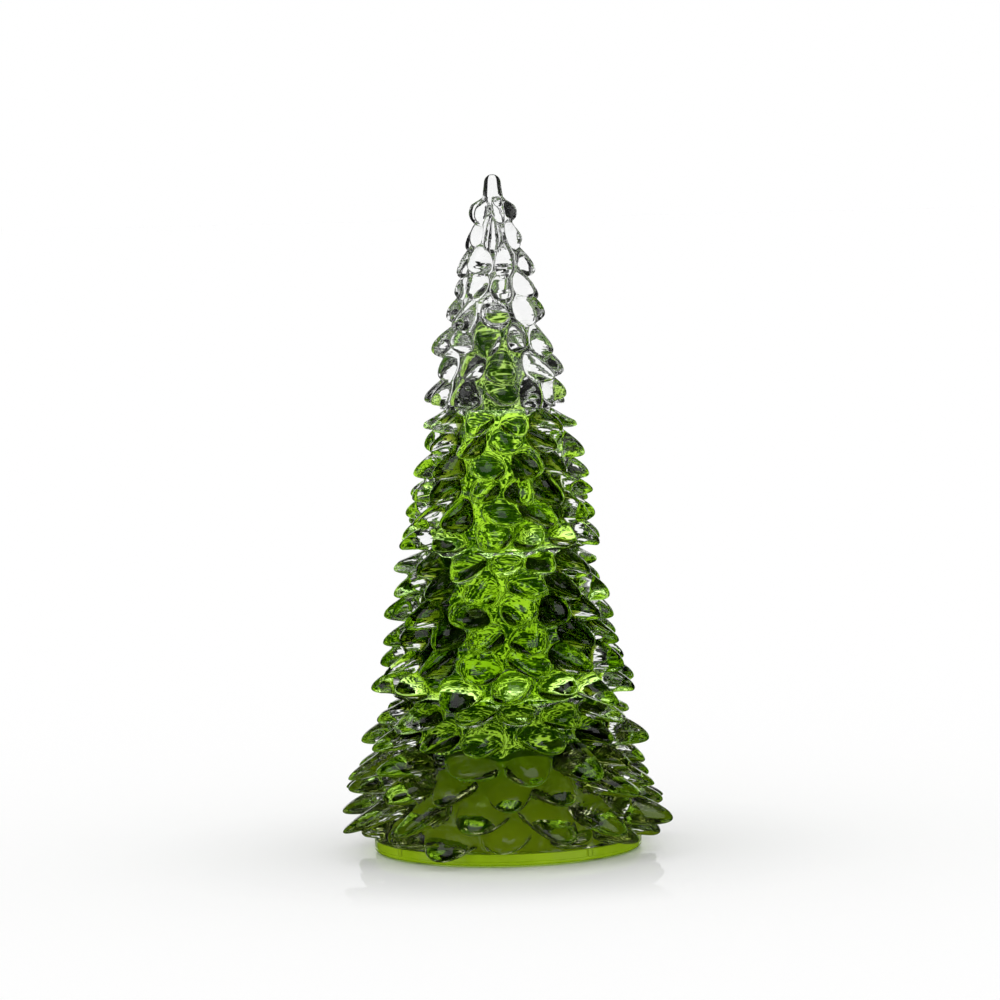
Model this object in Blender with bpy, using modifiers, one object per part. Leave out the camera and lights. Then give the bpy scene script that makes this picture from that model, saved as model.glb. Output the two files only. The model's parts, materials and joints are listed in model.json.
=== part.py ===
# A table-top Christmas tree of pressed glass, lit from its base.
# Four clear tiers with drooping branches stand on each other, with green liners inside them, on a green
# base that holds the cells, the lamp board and the switch. Metres, +Z up, standing on z = 0, front at -Y.

import math

import bmesh
import bpy
import numpy as np
from mathutils import Vector

# Clearances
SEAT_GAP = 0.0003  # between pieces that stand on or fit round each other
CUT_OVERRUN = 0.001  # how far a cutter passes the face that it opens

# Base plate: a floor with a rim, standing on rubber feet
BASE_RADIUS = 0.0635
BASE_RIM_HEIGHT = 0.0054
BASE_RIM_WIDTH = 0.0030
BASE_FLOOR = 0.0032
BASE_EDGE_ROUND = 0.0012
FOOT_RADIUS = 0.0060
FOOT_HEIGHT = 0.0020
FOOT_PROUD = 0.0008
FOOT_INSET = 0.0105  # from the base's edge to the middle of a foot
FOOT_COUNT = 4

# Tiers: radii are those of the valleys between the branches, reaches are how far the branches stand out
BOTTOM_HEIGHT = 0.0677
BASE_MARGIN = 0.0005  # how far the base stands out past the lowest tier
BOTTOM_FOOT_RADIUS = BASE_RADIUS - BASE_MARGIN
BOTTOM_TOP_RADIUS = 0.0470
BOTTOM_FOOT_REACH = 0.0250
BOTTOM_TOP_REACH = 0.0125
BOTTOM_FOOT_WALL = 0.0040
MIDDLE_HEIGHT = 0.0695
MIDDLE_FOOT_RADIUS = 0.0530
MIDDLE_TOP_RADIUS = 0.0355
MIDDLE_FOOT_REACH = 0.0125
MIDDLE_TOP_REACH = 0.0110
UPPER_HEIGHT = 0.0655
UPPER_FOOT_RADIUS = 0.0405
UPPER_TOP_RADIUS = 0.0250
UPPER_FOOT_REACH = 0.0110
UPPER_TOP_REACH = 0.0095
TOP_HEIGHT = 0.0994  # without the finger
TOP_FOOT_RADIUS = 0.0275
TOP_FOOT_REACH = 0.0090
TOP_TOP_REACH = 0.0046
FINGER_RADIUS = 0.0049
FINGER_TIP_RADIUS = 0.0040
FINGER_LENGTH = 0.0105
TIER_WALL = 0.0040  # at a tier's upper end
TIER_ROOF = 0.0030
TIER_SEAT_WIDTH = 0.0025  # how far a tier's foot reaches in over the tier below
TOP_SEAT_WIDTH = 0.0072
SPIGOT_WIDTH = 0.0020
SPIGOT_HEIGHT = 0.0025

# Branches: how a tier's rings are laid out and how a branch is shaped, in shares
BOTTOM_RINGS, BOTTOM_FOOT_BRANCHES, BOTTOM_TOP_BRANCHES = 6, 14, 13
MIDDLE_RINGS, MIDDLE_FOOT_BRANCHES, MIDDLE_TOP_BRANCHES = 6, 14, 12
UPPER_RINGS, UPPER_FOOT_BRANCHES, UPPER_TOP_BRANCHES = 6, 13, 10
TOP_RINGS, TOP_FOOT_BRANCHES, TOP_TOP_BRANCHES = 8, 10, 5
RING_START_SHARE = 0.45  # first ring below the tier's upper edge, of the ring spacing
RING_END_SHARE = 0.55  # last ring above the foot
BRANCH_WIDTH_SHARE = 0.45  # half width, of the spacing round the ring
BRANCH_RISE_SHARE = 0.74  # root above the tip, of the ring spacing
BRANCH_FALL_SHARE = 0.60  # root below the tip
BRANCH_ROUND_POWER = 2.2  # 1 makes a cone, more a rounder tip
BRANCH_FLARE_POWER = 1.3  # 1 makes a plain root, more a wider one
BRANCH_DROOP_SHARE = 0.28  # fall of the tip, of the reach
DROOP_SPREAD_SHARE = 0.14  # how far single branches depart from that
HEM_REACH_SHARE = 0.55  # reach of the lowest ring over the base, of its place's full reach
REACH_SPREAD_SHARE = 0.32  # how much longer or shorter single branches are
SIDE_SPREAD_SHARE = 0.13  # how far they stand to one side, of the spacing round the ring
DOWN_SPREAD_SHARE = 0.14  # how far they stand up or down, of the ring spacing
RING_WANDER_SHARE = 0.08  # waviness of a ring, of the ring spacing
TURN_WANDER_SHARE = 0.10  # unevenness round a ring, of the branch spacing
WANDER_WAVES = 3  # waves round a tier, of the unevenness round it
WAVINESS_WAVES = 4  # and of the rings' waviness
WANDER_TWIST_SHARE, WAVINESS_TWIST_SHARE = 2.4, -1.7  # how far those waves turn from ring to ring
EDGE_FADE_SHARE = 0.30  # the branches die out this near a tier's edges
GRID_RISE_SHARE, GRID_FALL_SHARE = 0.34, 0.27  # rows of facets above and below a ring
COLUMNS_PER_BRANCH = 4
FACET_REACH_SHARE = 1.08  # makes up for tips that fall between the facets' corners

# Liners: their walls at the foot and at the top of each tier, round the hollow that the lamps light
BOTTOM_LINER_FOOT, BOTTOM_LINER_TOP = 0.0037, 0.0167
MIDDLE_LINER_FOOT, MIDDLE_LINER_TOP = 0.0242, 0.0157
UPPER_LINER_FOOT, UPPER_LINER_TOP = 0.0187, 0.0092
LINER_WALL = 0.0020  # of the top liner
LINER_TOP_DEPTH = 0.0660  # from the tree's tip down to the green
LINER_TOP_RADIUS = 0.0085
DOME_SHARE = 0.75  # height of the liner's round top, of its radius
ARC_STEPS = 3

# Cells and their box
CELL_RADIUS = 0.00525
CELL_LENGTH = 0.0445
CELL_NUB_RADIUS = 0.0019
CELL_NUB_LENGTH = 0.0012
CELL_COUNT = 3
CELL_SPACE = 0.0007
BOX_WALL = 0.0015
STRIP_THICKNESS = 0.0004
STRIP_HEIGHT = 0.0080
SPRING_LENGTH = 0.0048
SPRING_WIDE_RADIUS = 0.0034
SPRING_NARROW_RADIUS = 0.0018
SPRING_WIRE_RADIUS = 0.0003
SPRING_TURNS = 3
SPRING_STEPS_PER_TURN = 8

# Screws and their bosses
SCREW_RADIUS = 0.0011
SCREW_LENGTH = 0.0085
SCREW_HEAD_RADIUS = 0.0022
SCREW_HEAD_HEIGHT = 0.0009
SCREW_CLEARANCE = 0.0003
BOSS_WALL = 0.0017
BOSS_HEIGHT = 0.0095
BOARD_SCREW_LENGTH = 0.0060
BOX_SCREW_SPACING = 0.0300

# Battery door
DOOR_THICKNESS = 0.0018
DOOR_LEDGE = 0.0020
DOOR_END = 0.0042  # from the middle of a door screw to the end of the door
THUMB_PAD_LENGTH = 0.0120
THUMB_PAD_DEPTH = 0.0005
THUMB_RIB_COUNT = 4

# Housing cover and lamp board
COVER_ROOM = 0.0028  # between the cover's foot and the liner
COVER_HEIGHT = 0.0424
COVER_TOP_RADIUS = 0.0290
COVER_WALL = 0.0020
COVER_EDGE_ROUND = 0.0050
COVER_SCREW_COUNT = 3
COVER_BOSS_INSET = 0.0020  # from the cover's inner wall to the middle of its screw bosses
WIRE_HOLE_RADIUS = 0.0045
BOARD_RADIUS = 0.0180
BOARD_THICKNESS = 0.0016
BOARD_SCREW_INSET = 0.0040
LED_COUNT = 3
LED_RADIUS = 0.0025
LED_HEIGHT = 0.0086
LED_FLANGE_RADIUS = 0.0029
LED_FLANGE_HEIGHT = 0.0010
LED_CIRCLE_RADIUS = 0.0080
LEAD_RADIUS = 0.0007
LEAD_SPACING = 0.0024
LEAD_BULGE = 0.0050
LEAD_STEPS = 9

# Switch
SWITCH_LENGTH = 0.0100
SWITCH_WIDTH = 0.0054
SWITCH_HEIGHT = 0.0042
SWITCH_WALL = 0.0010
SWITCH_TRAVEL = 0.0030
SWITCH_PLACE = 0.0330  # from the middle of the base to the switch, towards the front
KNOB_LENGTH = 0.0026
KNOB_WIDTH = 0.0022
KNOB_RECESS = 0.0003  # how far the knob stays inside the base's underside
CARRIAGE_HEIGHT = 0.0018

# Facets round a turned piece
FINE_SIDES = 44
PLAIN_SIDES = 32
SMALL_SIDES = 12
SCREW_SIDES = 8
MERGE = 0.00001

# Places up the tree, worked out from the sizes above
BASE_UNDER = FOOT_PROUD
FLOOR_TOP = BASE_UNDER + BASE_FLOOR
INSIDE_Z = FLOOR_TOP + SEAT_GAP
RIM_TOP = BASE_UNDER + BASE_RIM_HEIGHT


def clear_scene():
    for old in list(bpy.data.objects):
        bpy.data.objects.remove(old, do_unlink=True)
    for name in ("glass_christmas_tree", "cutters"):
        group = bpy.data.collections.new(name)
        bpy.context.scene.collection.children.link(group)
    return bpy.data.collections["glass_christmas_tree"], bpy.data.collections["cutters"]


TREE, CUTTERS = clear_scene()


def look(name, color, roughness, metallic=0.0, transmission=0.0):
    """A Principled material."""
    made = bpy.data.materials.new(name)
    made.use_nodes = True
    shader = made.node_tree.nodes["Principled BSDF"]
    shader.inputs["Base Color"].default_value = (*color, 1.0)
    shader.inputs["Roughness"].default_value = roughness
    shader.inputs["Metallic"].default_value = metallic
    shader.inputs["Transmission Weight"].default_value = transmission
    made.diffuse_color = (*color, 1.0)
    return made


def add_object(name, mesh, finish=None):
    obj = bpy.data.objects.new(name, mesh)
    TREE.objects.link(obj)
    if finish:
        mesh.materials.append(finish)
    return obj


def from_bmesh(name, shape, finish=None):
    mesh = bpy.data.meshes.new(name)
    shape.to_mesh(mesh)
    shape.free()
    return add_object(name, mesh, finish)


def block(name, low, high, finish=None):
    """A box between two corners."""
    low, high = Vector(low), Vector(high)
    shape = bmesh.new()
    bmesh.ops.create_cube(shape, size=1.0)
    bmesh.ops.scale(shape, vec=high - low, verts=shape.verts)
    bmesh.ops.translate(shape, vec=(low + high) / 2, verts=shape.verts)
    return from_bmesh(name, shape, finish)


def turned(name, profile, sides, finish=None):
    """A profile in X and Z, running down its outer side, turned round Z."""
    mesh = bpy.data.meshes.new(name)
    closed = profile[0][0] > 0
    count = len(profile)
    edges = [(i, (i + 1) % count) for i in range(count if closed else count - 1)]
    mesh.from_pydata([(r, 0, z) for r, z in profile], edges, [])
    obj = add_object(name, mesh, finish)
    screw = obj.modifiers.new("turn", "SCREW")
    screw.steps = screw.render_steps = sides
    screw.use_merge_vertices = True
    screw.merge_threshold = MERGE
    return obj


def rod(name, radius, low_z, high_z, sides=SMALL_SIDES, finish=None):
    return turned(name, [(0, high_z), (radius, high_z), (radius, low_z), (0, low_z)], sides, finish)


def combine(target, other, operation):
    """Joins or cuts with another object, which becomes a hidden helper."""
    TREE.objects.unlink(other)
    CUTTERS.objects.link(other)
    other.hide_render = True
    other.display_type = "WIRE"
    step = target.modifiers.new(other.name, "BOOLEAN")
    step.operation = operation
    step.solver = "EXACT"
    step.object = other


def cut(target, other):
    combine(target, other, "DIFFERENCE")


def join(target, other):
    combine(target, other, "UNION")


def as_mesh(obj):
    """Replaces an object by its evaluated mesh, with doubles merged."""
    bpy.context.view_layer.update()
    graph = bpy.context.evaluated_depsgraph_get()
    mesh = bpy.data.meshes.new_from_object(obj.evaluated_get(graph))
    shape = bmesh.new()
    shape.from_mesh(mesh)
    bmesh.ops.remove_doubles(shape, verts=shape.verts, dist=MERGE)
    shape.to_mesh(mesh)
    shape.free()
    obj.modifiers.clear()
    obj.data = mesh
    return obj


def around(radius, index, count, start=0.0):
    """The place of one of several pieces on a circle."""
    angle = start + 2 * math.pi * index / count
    return radius * math.cos(angle), radius * math.sin(angle)


def arc(centre_r, centre_z, radius_r, radius_z, start, end, steps=ARC_STEPS):
    """Points on a quarter turn of a profile, angles in degrees from +X."""
    angles = [math.radians(start + (end - start) * i / steps) for i in range(steps + 1)]
    return [(centre_r + radius_r * math.cos(a), centre_z + radius_z * math.sin(a)) for a in angles]


def make_tier(name, foot_z, height, foot_radius, top_radius, inner_foot, reaches, walls, rings, counts, seed,
              hem_share=1.0):
    """The sizes of one tier, with what follows from them."""
    spacing = height / (rings - 1 + RING_START_SHARE + RING_END_SHARE)
    inner_top = top_radius - TIER_WALL
    return {
        "name": name, "foot_z": foot_z, "top_z": foot_z + height, "height": height,
        "foot_radius": foot_radius, "top_radius": top_radius, "inner_foot": inner_foot,
        "inner_top": inner_top, "ceiling_z": foot_z + height - TIER_ROOF,
        "core_foot": inner_foot - SEAT_GAP - walls[0], "core_top": inner_top - SEAT_GAP - walls[1],
        "foot_reach": reaches[0], "top_reach": reaches[1], "rings": rings,
        "foot_count": counts[0], "top_count": counts[1],
        "spacing": spacing, "seed": seed, "hem_share": hem_share,
    }


def next_foot_z(tier):
    return tier["top_z"] + SEAT_GAP


BOTTOM = make_tier(
    "bottom", RIM_TOP + SEAT_GAP, BOTTOM_HEIGHT, BOTTOM_FOOT_RADIUS, BOTTOM_TOP_RADIUS,
    BOTTOM_FOOT_RADIUS - BOTTOM_FOOT_WALL, (BOTTOM_FOOT_REACH, BOTTOM_TOP_REACH),
    (BOTTOM_LINER_FOOT, BOTTOM_LINER_TOP), BOTTOM_RINGS, (BOTTOM_FOOT_BRANCHES, BOTTOM_TOP_BRANCHES),
    11, HEM_REACH_SHARE,
)
MIDDLE = make_tier(
    "middle", next_foot_z(BOTTOM), MIDDLE_HEIGHT, MIDDLE_FOOT_RADIUS, MIDDLE_TOP_RADIUS,
    BOTTOM_TOP_RADIUS - TIER_SEAT_WIDTH, (MIDDLE_FOOT_REACH, MIDDLE_TOP_REACH),
    (MIDDLE_LINER_FOOT, MIDDLE_LINER_TOP), MIDDLE_RINGS, (MIDDLE_FOOT_BRANCHES, MIDDLE_TOP_BRANCHES), 12,
)
UPPER = make_tier(
    "upper", next_foot_z(MIDDLE), UPPER_HEIGHT, UPPER_FOOT_RADIUS, UPPER_TOP_RADIUS,
    MIDDLE_TOP_RADIUS - TIER_SEAT_WIDTH, (UPPER_FOOT_REACH, UPPER_TOP_REACH),
    (UPPER_LINER_FOOT, UPPER_LINER_TOP), UPPER_RINGS, (UPPER_FOOT_BRANCHES, UPPER_TOP_BRANCHES), 13,
)
TOP = make_tier(
    "top", next_foot_z(UPPER), TOP_HEIGHT, TOP_FOOT_RADIUS, FINGER_RADIUS,
    UPPER_TOP_RADIUS - TOP_SEAT_WIDTH, (TOP_FOOT_REACH, TOP_TOP_REACH),
    (LINER_WALL, FINGER_RADIUS - TIER_WALL - SEAT_GAP), TOP_RINGS, (TOP_FOOT_BRANCHES, TOP_TOP_BRANCHES), 14,
)
TREE_TOP = TOP["top_z"] + FINGER_LENGTH


def grid_rows(tier):
    """Rows of facets down a tier, counted in ring spacings from its upper edge."""
    rows = []
    for ring in range(tier["rings"]):
        middle = ring + RING_START_SHARE
        rows += [middle - GRID_RISE_SHARE, middle, middle + GRID_FALL_SHARE]
    return [0.0] + rows[1:-1] + [tier["height"] / tier["spacing"]]


def along(tier, row, foot_value, top_value):
    """A value that runs evenly from a tier's top to its foot."""
    share = row * tier["spacing"] / tier["height"]
    return top_value + (foot_value - top_value) * share


def branch_height(tier, angle, row):
    """How far each point is drawn out, from 0 in a valley to about 1 at a tip, and how far it droops."""
    size = (4, tier["rings"], tier["foot_count"])
    chance = np.random.RandomState(tier["seed"]).uniform(-1, 1, size)
    lengths = 1 + REACH_SPREAD_SHARE * chance[0]
    lengths[-1] *= tier["hem_share"]
    height, droop = np.zeros_like(row), np.zeros_like(row)
    for ring in range(tier["rings"]):
        more = (tier["foot_count"] - tier["top_count"]) * ring / (tier["rings"] - 1)
        count = round(tier["top_count"] + more)
        across = angle * count / (2 * math.pi) - (ring % 2) / 2
        for neighbour in (0, 1):
            centre = np.floor(across) + neighbour
            index = centre.astype(int) % count
            side = (across - centre - SIDE_SPREAD_SHARE * chance[1, ring, index]) / BRANCH_WIDTH_SHARE
            down = row - ring - RING_START_SHARE - DOWN_SPREAD_SHARE * chance[2, ring, index]
            down = np.where(down < 0, down / BRANCH_RISE_SHARE, down / BRANCH_FALL_SHARE)
            drawn = np.clip(1 - np.hypot(side, down)**BRANCH_ROUND_POWER, 0, 1)**BRANCH_FLARE_POWER
            drawn = drawn * lengths[ring, index]
            falls = BRANCH_DROOP_SHARE + DROOP_SPREAD_SHARE * chance[3, ring, index]
            droop = np.where(drawn > height, falls, droop)
            height = np.maximum(height, drawn)
    depth = tier["height"] / tier["spacing"]
    fade = np.clip(np.minimum(row, depth - row) / EDGE_FADE_SHARE, 0, 1)
    return height * fade, droop, fade


def draw_branches(tier, obj):
    """Draws the outer skin of a turned tier out into rings of drooping branches."""
    places = np.array([v.co[:] for v in obj.data.vertices])
    radius, angle = np.hypot(places[:, 0], places[:, 1]), np.arctan2(places[:, 1], places[:, 0])
    row = (tier["top_z"] - places[:, 2]) / tier["spacing"]
    valley = along(tier, row, tier["foot_radius"], tier["top_radius"])
    skin = (np.abs(radius - valley) < MERGE) & (row > 0) & (places[:, 2] > tier["foot_z"])
    height, droop, fade = branch_height(tier, angle, row)
    reach = along(tier, row, tier["foot_reach"], tier["top_reach"]) * height * FACET_REACH_SHARE
    wander = TURN_WANDER_SHARE * 2 * math.pi / tier["foot_count"]
    turned_by = wander * fade * np.sin(WANDER_WAVES * angle + WANDER_TWIST_SHARE * row)
    row = row + RING_WANDER_SHARE * fade * np.sin(WAVINESS_WAVES * angle + WAVINESS_TWIST_SHARE * row)
    angle = angle + turned_by
    drawn = np.stack([
        (valley + reach) * np.cos(angle),
        (valley + reach) * np.sin(angle),
        tier["top_z"] - row * tier["spacing"] - droop * reach,
    ], axis=1)
    places = np.where(skin[:, None], drawn, places)
    obj.data.vertices.foreach_set("co", places.ravel())
    obj.data.update()


def up_the_cone(tier, z, foot_value, top_value):
    """A value that runs evenly from a tier's foot to its ceiling."""
    share = min(max((z - tier["foot_z"]) / (tier["ceiling_z"] - tier["foot_z"]), 0), 1)
    return foot_value + (top_value - foot_value) * share


def liner_radius(tier, z):
    """Outer radius of the liner inside a tier, at a height."""
    return up_the_cone(tier, z, tier["inner_foot"], tier["inner_top"]) - SEAT_GAP


def core_radius(tier, z):
    """Inner radius of that liner."""
    return up_the_cone(tier, z, tier["core_foot"], tier["core_top"])


def skin_profile(tier):
    """The valley line of a tier, from its upper edge to its foot."""
    return [
        (along(tier, row, tier["foot_radius"], tier["top_radius"]), tier["top_z"] - row * tier["spacing"])
        for row in grid_rows(tier)
    ]


def open_tier(tier, above, finish):
    """A tier with a ledge and a spigot that carry the tier above it and centre its liner."""
    spigot = core_radius(above, above["foot_z"] + SPIGOT_HEIGHT) - 2 * SEAT_GAP
    opening = spigot - SPIGOT_WIDTH
    profile = skin_profile(tier) + [
        (tier["inner_foot"], tier["foot_z"]),
        (tier["inner_top"], tier["ceiling_z"]),
        (opening, tier["ceiling_z"]),
        (opening, tier["top_z"] + SPIGOT_HEIGHT),
        (spigot, tier["top_z"] + SPIGOT_HEIGHT),
        (spigot, tier["top_z"]),
    ]
    obj = as_mesh(turned(tier["name"] + "_tier", profile, tier["foot_count"] * COLUMNS_PER_BRANCH, finish))
    draw_branches(tier, obj)
    return obj


def closed_tier(tier, finish):
    """The top tier: a solid finger above a hollow for its liner."""
    finger = arc(0, TREE_TOP - FINGER_TIP_RADIUS, FINGER_TIP_RADIUS, FINGER_TIP_RADIUS, 90, 0)
    finger[0] = (0, TREE_TOP)
    dome_z = TREE_TOP - LINER_TOP_DEPTH
    hollow = LINER_TOP_RADIUS + SEAT_GAP
    dome = arc(0, dome_z - hollow * DOME_SHARE, hollow, hollow * DOME_SHARE + SEAT_GAP, 0, 90)
    dome[-1] = (0, dome_z + SEAT_GAP)
    profile = finger + skin_profile(tier) + [(tier["inner_foot"], tier["foot_z"])] + dome
    obj = as_mesh(turned(tier["name"] + "_tier", profile, tier["foot_count"] * COLUMNS_PER_BRANCH, finish))
    draw_branches(tier, obj)
    return obj


def open_liner(tier, seat_z, finish):
    """A green body that fills a tier's inside round a hollow core, open at both ends."""
    top_z = tier["ceiling_z"] - SEAT_GAP
    heights = [top_z, tier["foot_z"], seat_z] if seat_z < tier["foot_z"] else [top_z, seat_z]
    outer = [(liner_radius(tier, z), z) for z in heights]
    inner = [(core_radius(tier, z), z) for z in reversed(heights)]
    return turned(tier["name"] + "_liner", outer + inner, PLAIN_SIDES, finish)


def closed_liner(tier, finish):
    """The top liner, which ends in a round dome."""
    dome_z = TREE_TOP - LINER_TOP_DEPTH
    foot = tier["inner_foot"] - SEAT_GAP
    rise = LINER_TOP_RADIUS * DOME_SHARE
    outer = arc(0, dome_z - rise, LINER_TOP_RADIUS, rise, 90, 0)
    outer[0] = (0, dome_z)
    inside = LINER_TOP_RADIUS - LINER_WALL
    inner = arc(0, dome_z - rise, inside, rise - LINER_WALL, 0, 90)
    inner[-1] = (0, dome_z - LINER_WALL)
    foot_points = [(foot, tier["foot_z"]), (tier["core_foot"], tier["foot_z"])]
    return turned(tier["name"] + "_liner", outer + foot_points + inner, PLAIN_SIDES, finish)


# Plan of the base, in sizes that several pieces share
CELL_PITCH = 2 * CELL_RADIUS + CELL_SPACE
BAY_HALF_WIDTH = CELL_COUNT * CELL_PITCH / 2
STRIP_ROOM = STRIP_THICKNESS + 2 * SEAT_GAP
BAY_HALF_LENGTH = (CELL_LENGTH + SPRING_LENGTH + 2 * STRIP_ROOM + SEAT_GAP) / 2
CELL_Z = INSIDE_Z + CELL_RADIUS + CELL_SPACE
BOX_TOP = CELL_Z + CELL_RADIUS + CELL_SPACE + BOX_WALL
BOSS_RADIUS = SCREW_RADIUS + SCREW_CLEARANCE + BOSS_WALL
BOX_BOSS_Y = BAY_HALF_WIDTH + BOX_WALL + BOSS_RADIUS - BOX_WALL / 2
DOOR_HALF_WIDTH = BAY_HALF_WIDTH + DOOR_LEDGE / 2
DOOR_SCREW_X = BAY_HALF_LENGTH + BOX_WALL + SEAT_GAP + BOSS_RADIUS
DOOR_HALF_LENGTH = DOOR_SCREW_X + DOOR_END
COVER_FOOT_RADIUS = core_radius(BOTTOM, INSIDE_Z) - COVER_ROOM
COVER_TOP = INSIDE_Z + COVER_HEIGHT
COVER_SCREW_CIRCLE = COVER_FOOT_RADIUS - COVER_WALL - COVER_BOSS_INSET
BOARD_Z = COVER_TOP + SEAT_GAP
FOOT_CIRCLE = BASE_RADIUS - FOOT_INSET
BOX_SCREW_PLACES = [
    (x * BOX_SCREW_SPACING / 2, y * BOX_BOSS_Y) for x in (-1, 1) for y in (-1, 1)
]
COVER_SCREW_PLACES = [
    around(COVER_SCREW_CIRCLE, i, COVER_SCREW_COUNT, math.pi / 2) for i in range(COVER_SCREW_COUNT)
]
DOOR_SCREW_PLACES = [(-DOOR_SCREW_X, 0), (DOOR_SCREW_X, 0)]
FOOT_PLACES = [around(FOOT_CIRCLE, i, FOOT_COUNT, math.pi / 4) for i in range(FOOT_COUNT)]
BOARD_SCREW_PLACES = [(x * (BOARD_RADIUS - BOARD_SCREW_INSET), 0) for x in (-1, 1)]


def moved(obj, place):
    obj.location.x, obj.location.y = place
    return obj


def screw_profile(head_z, length, radius=SCREW_RADIUS):
    """A pan-head screw driven upwards, its head's underside at head_z."""
    shoulder = head_z + SCREW_HEAD_HEIGHT
    return [
        (0, shoulder + length), (radius, shoulder + length), (radius, shoulder),
        (SCREW_HEAD_RADIUS, shoulder), (SCREW_HEAD_RADIUS, head_z), (0, head_z),
    ]


def screw_hole(name, under_z, head_depth, top_z):
    """A cutter for a screw from below: a counterbore for its head and a hole for its shank."""
    shank = SCREW_RADIUS + SCREW_CLEARANCE
    head = SCREW_HEAD_RADIUS + SCREW_CLEARANCE
    return turned(name, [
        (0, top_z), (shank, top_z), (shank, under_z + head_depth),
        (head, under_z + head_depth), (head, under_z - CUT_OVERRUN), (0, under_z - CUT_OVERRUN),
    ], SCREW_SIDES)


def base_plate(finish):
    rim_inner = BASE_RADIUS - BASE_RIM_WIDTH
    edge = arc(BASE_RADIUS - BASE_EDGE_ROUND, BASE_UNDER + BASE_EDGE_ROUND,
               BASE_EDGE_ROUND, BASE_EDGE_ROUND, 0, -90)
    profile = [(0, FLOOR_TOP), (rim_inner, FLOOR_TOP), (rim_inner, RIM_TOP), (BASE_RADIUS, RIM_TOP)]
    plate = turned("base_plate", profile + edge + [(0, BASE_UNDER)], FINE_SIDES, finish)
    boss_top = FLOOR_TOP + BOSS_HEIGHT
    for place in DOOR_SCREW_PLACES:
        boss = rod("door_boss", BOSS_RADIUS, FLOOR_TOP - BASE_FLOOR / 4, boss_top)
        join(plate, moved(boss, place))
    ledge_z = BASE_UNDER + DOOR_THICKNESS + SEAT_GAP
    cut(plate, block("door_recess", (-DOOR_HALF_LENGTH, -DOOR_HALF_WIDTH, BASE_UNDER - CUT_OVERRUN),
                     (DOOR_HALF_LENGTH, DOOR_HALF_WIDTH, ledge_z)))
    half_x, half_y = BAY_HALF_LENGTH - DOOR_LEDGE / 2, BAY_HALF_WIDTH - DOOR_LEDGE / 2
    cut(plate, block("bay_opening", (-half_x, -half_y, BASE_UNDER - CUT_OVERRUN),
                     (half_x, half_y, FLOOR_TOP + CUT_OVERRUN)))
    for place in DOOR_SCREW_PLACES:
        hole = rod("door_screw_hole", SCREW_RADIUS + SCREW_CLEARANCE, BASE_UNDER - CUT_OVERRUN,
                   boss_top - BOSS_WALL, SCREW_SIDES)
        cut(plate, moved(hole, place))
    for place in BOX_SCREW_PLACES + COVER_SCREW_PLACES:
        hole = screw_hole("floor_screw_hole", BASE_UNDER, SCREW_HEAD_HEIGHT + 2 * SEAT_GAP,
                          FLOOR_TOP + CUT_OVERRUN)
        cut(plate, moved(hole, place))
    pocket_z = BASE_UNDER + FOOT_HEIGHT - FOOT_PROUD + SEAT_GAP
    for place in FOOT_PLACES:
        pocket = rod("foot_pocket", FOOT_RADIUS + SEAT_GAP, BASE_UNDER - CUT_OVERRUN, pocket_z, SMALL_SIDES)
        cut(plate, moved(pocket, place))
    slot_x = (SWITCH_TRAVEL + KNOB_LENGTH) / 2 + SEAT_GAP
    slot_y = KNOB_WIDTH / 2 + SEAT_GAP
    cut(plate, block("switch_slot", (-slot_x, -SWITCH_PLACE - slot_y, BASE_UNDER - CUT_OVERRUN),
                     (slot_x, -SWITCH_PLACE + slot_y, FLOOR_TOP + CUT_OVERRUN)))


def feet(finish):
    for i, place in enumerate(FOOT_PLACES):
        moved(rod(f"foot_{i + 1}", FOOT_RADIUS, 0, FOOT_HEIGHT, SMALL_SIDES, finish), place)


def battery_box(finish):
    """An open tray, upside down over the cells, with four screw bosses."""
    outer_x, outer_y = BAY_HALF_LENGTH + BOX_WALL, BAY_HALF_WIDTH + BOX_WALL
    box = block("battery_box", (-outer_x, -outer_y, INSIDE_Z), (outer_x, outer_y, BOX_TOP), finish)
    for place in BOX_SCREW_PLACES:
        join(box, moved(rod("box_boss", BOSS_RADIUS, INSIDE_Z, INSIDE_Z + BOSS_HEIGHT), place))
    cut(box, block("bay", (-BAY_HALF_LENGTH, -BAY_HALF_WIDTH, INSIDE_Z - CUT_OVERRUN),
                   (BAY_HALF_LENGTH, BAY_HALF_WIDTH, BOX_TOP - BOX_WALL)))
    for place in BOX_SCREW_PLACES:
        hole = rod("box_screw_hole", SCREW_RADIUS + SCREW_CLEARANCE, INSIDE_Z - CUT_OVERRUN,
                   INSIDE_Z + BOSS_HEIGHT - BOSS_WALL / 2, SCREW_SIDES)
        cut(box, moved(hole, place))


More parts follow.
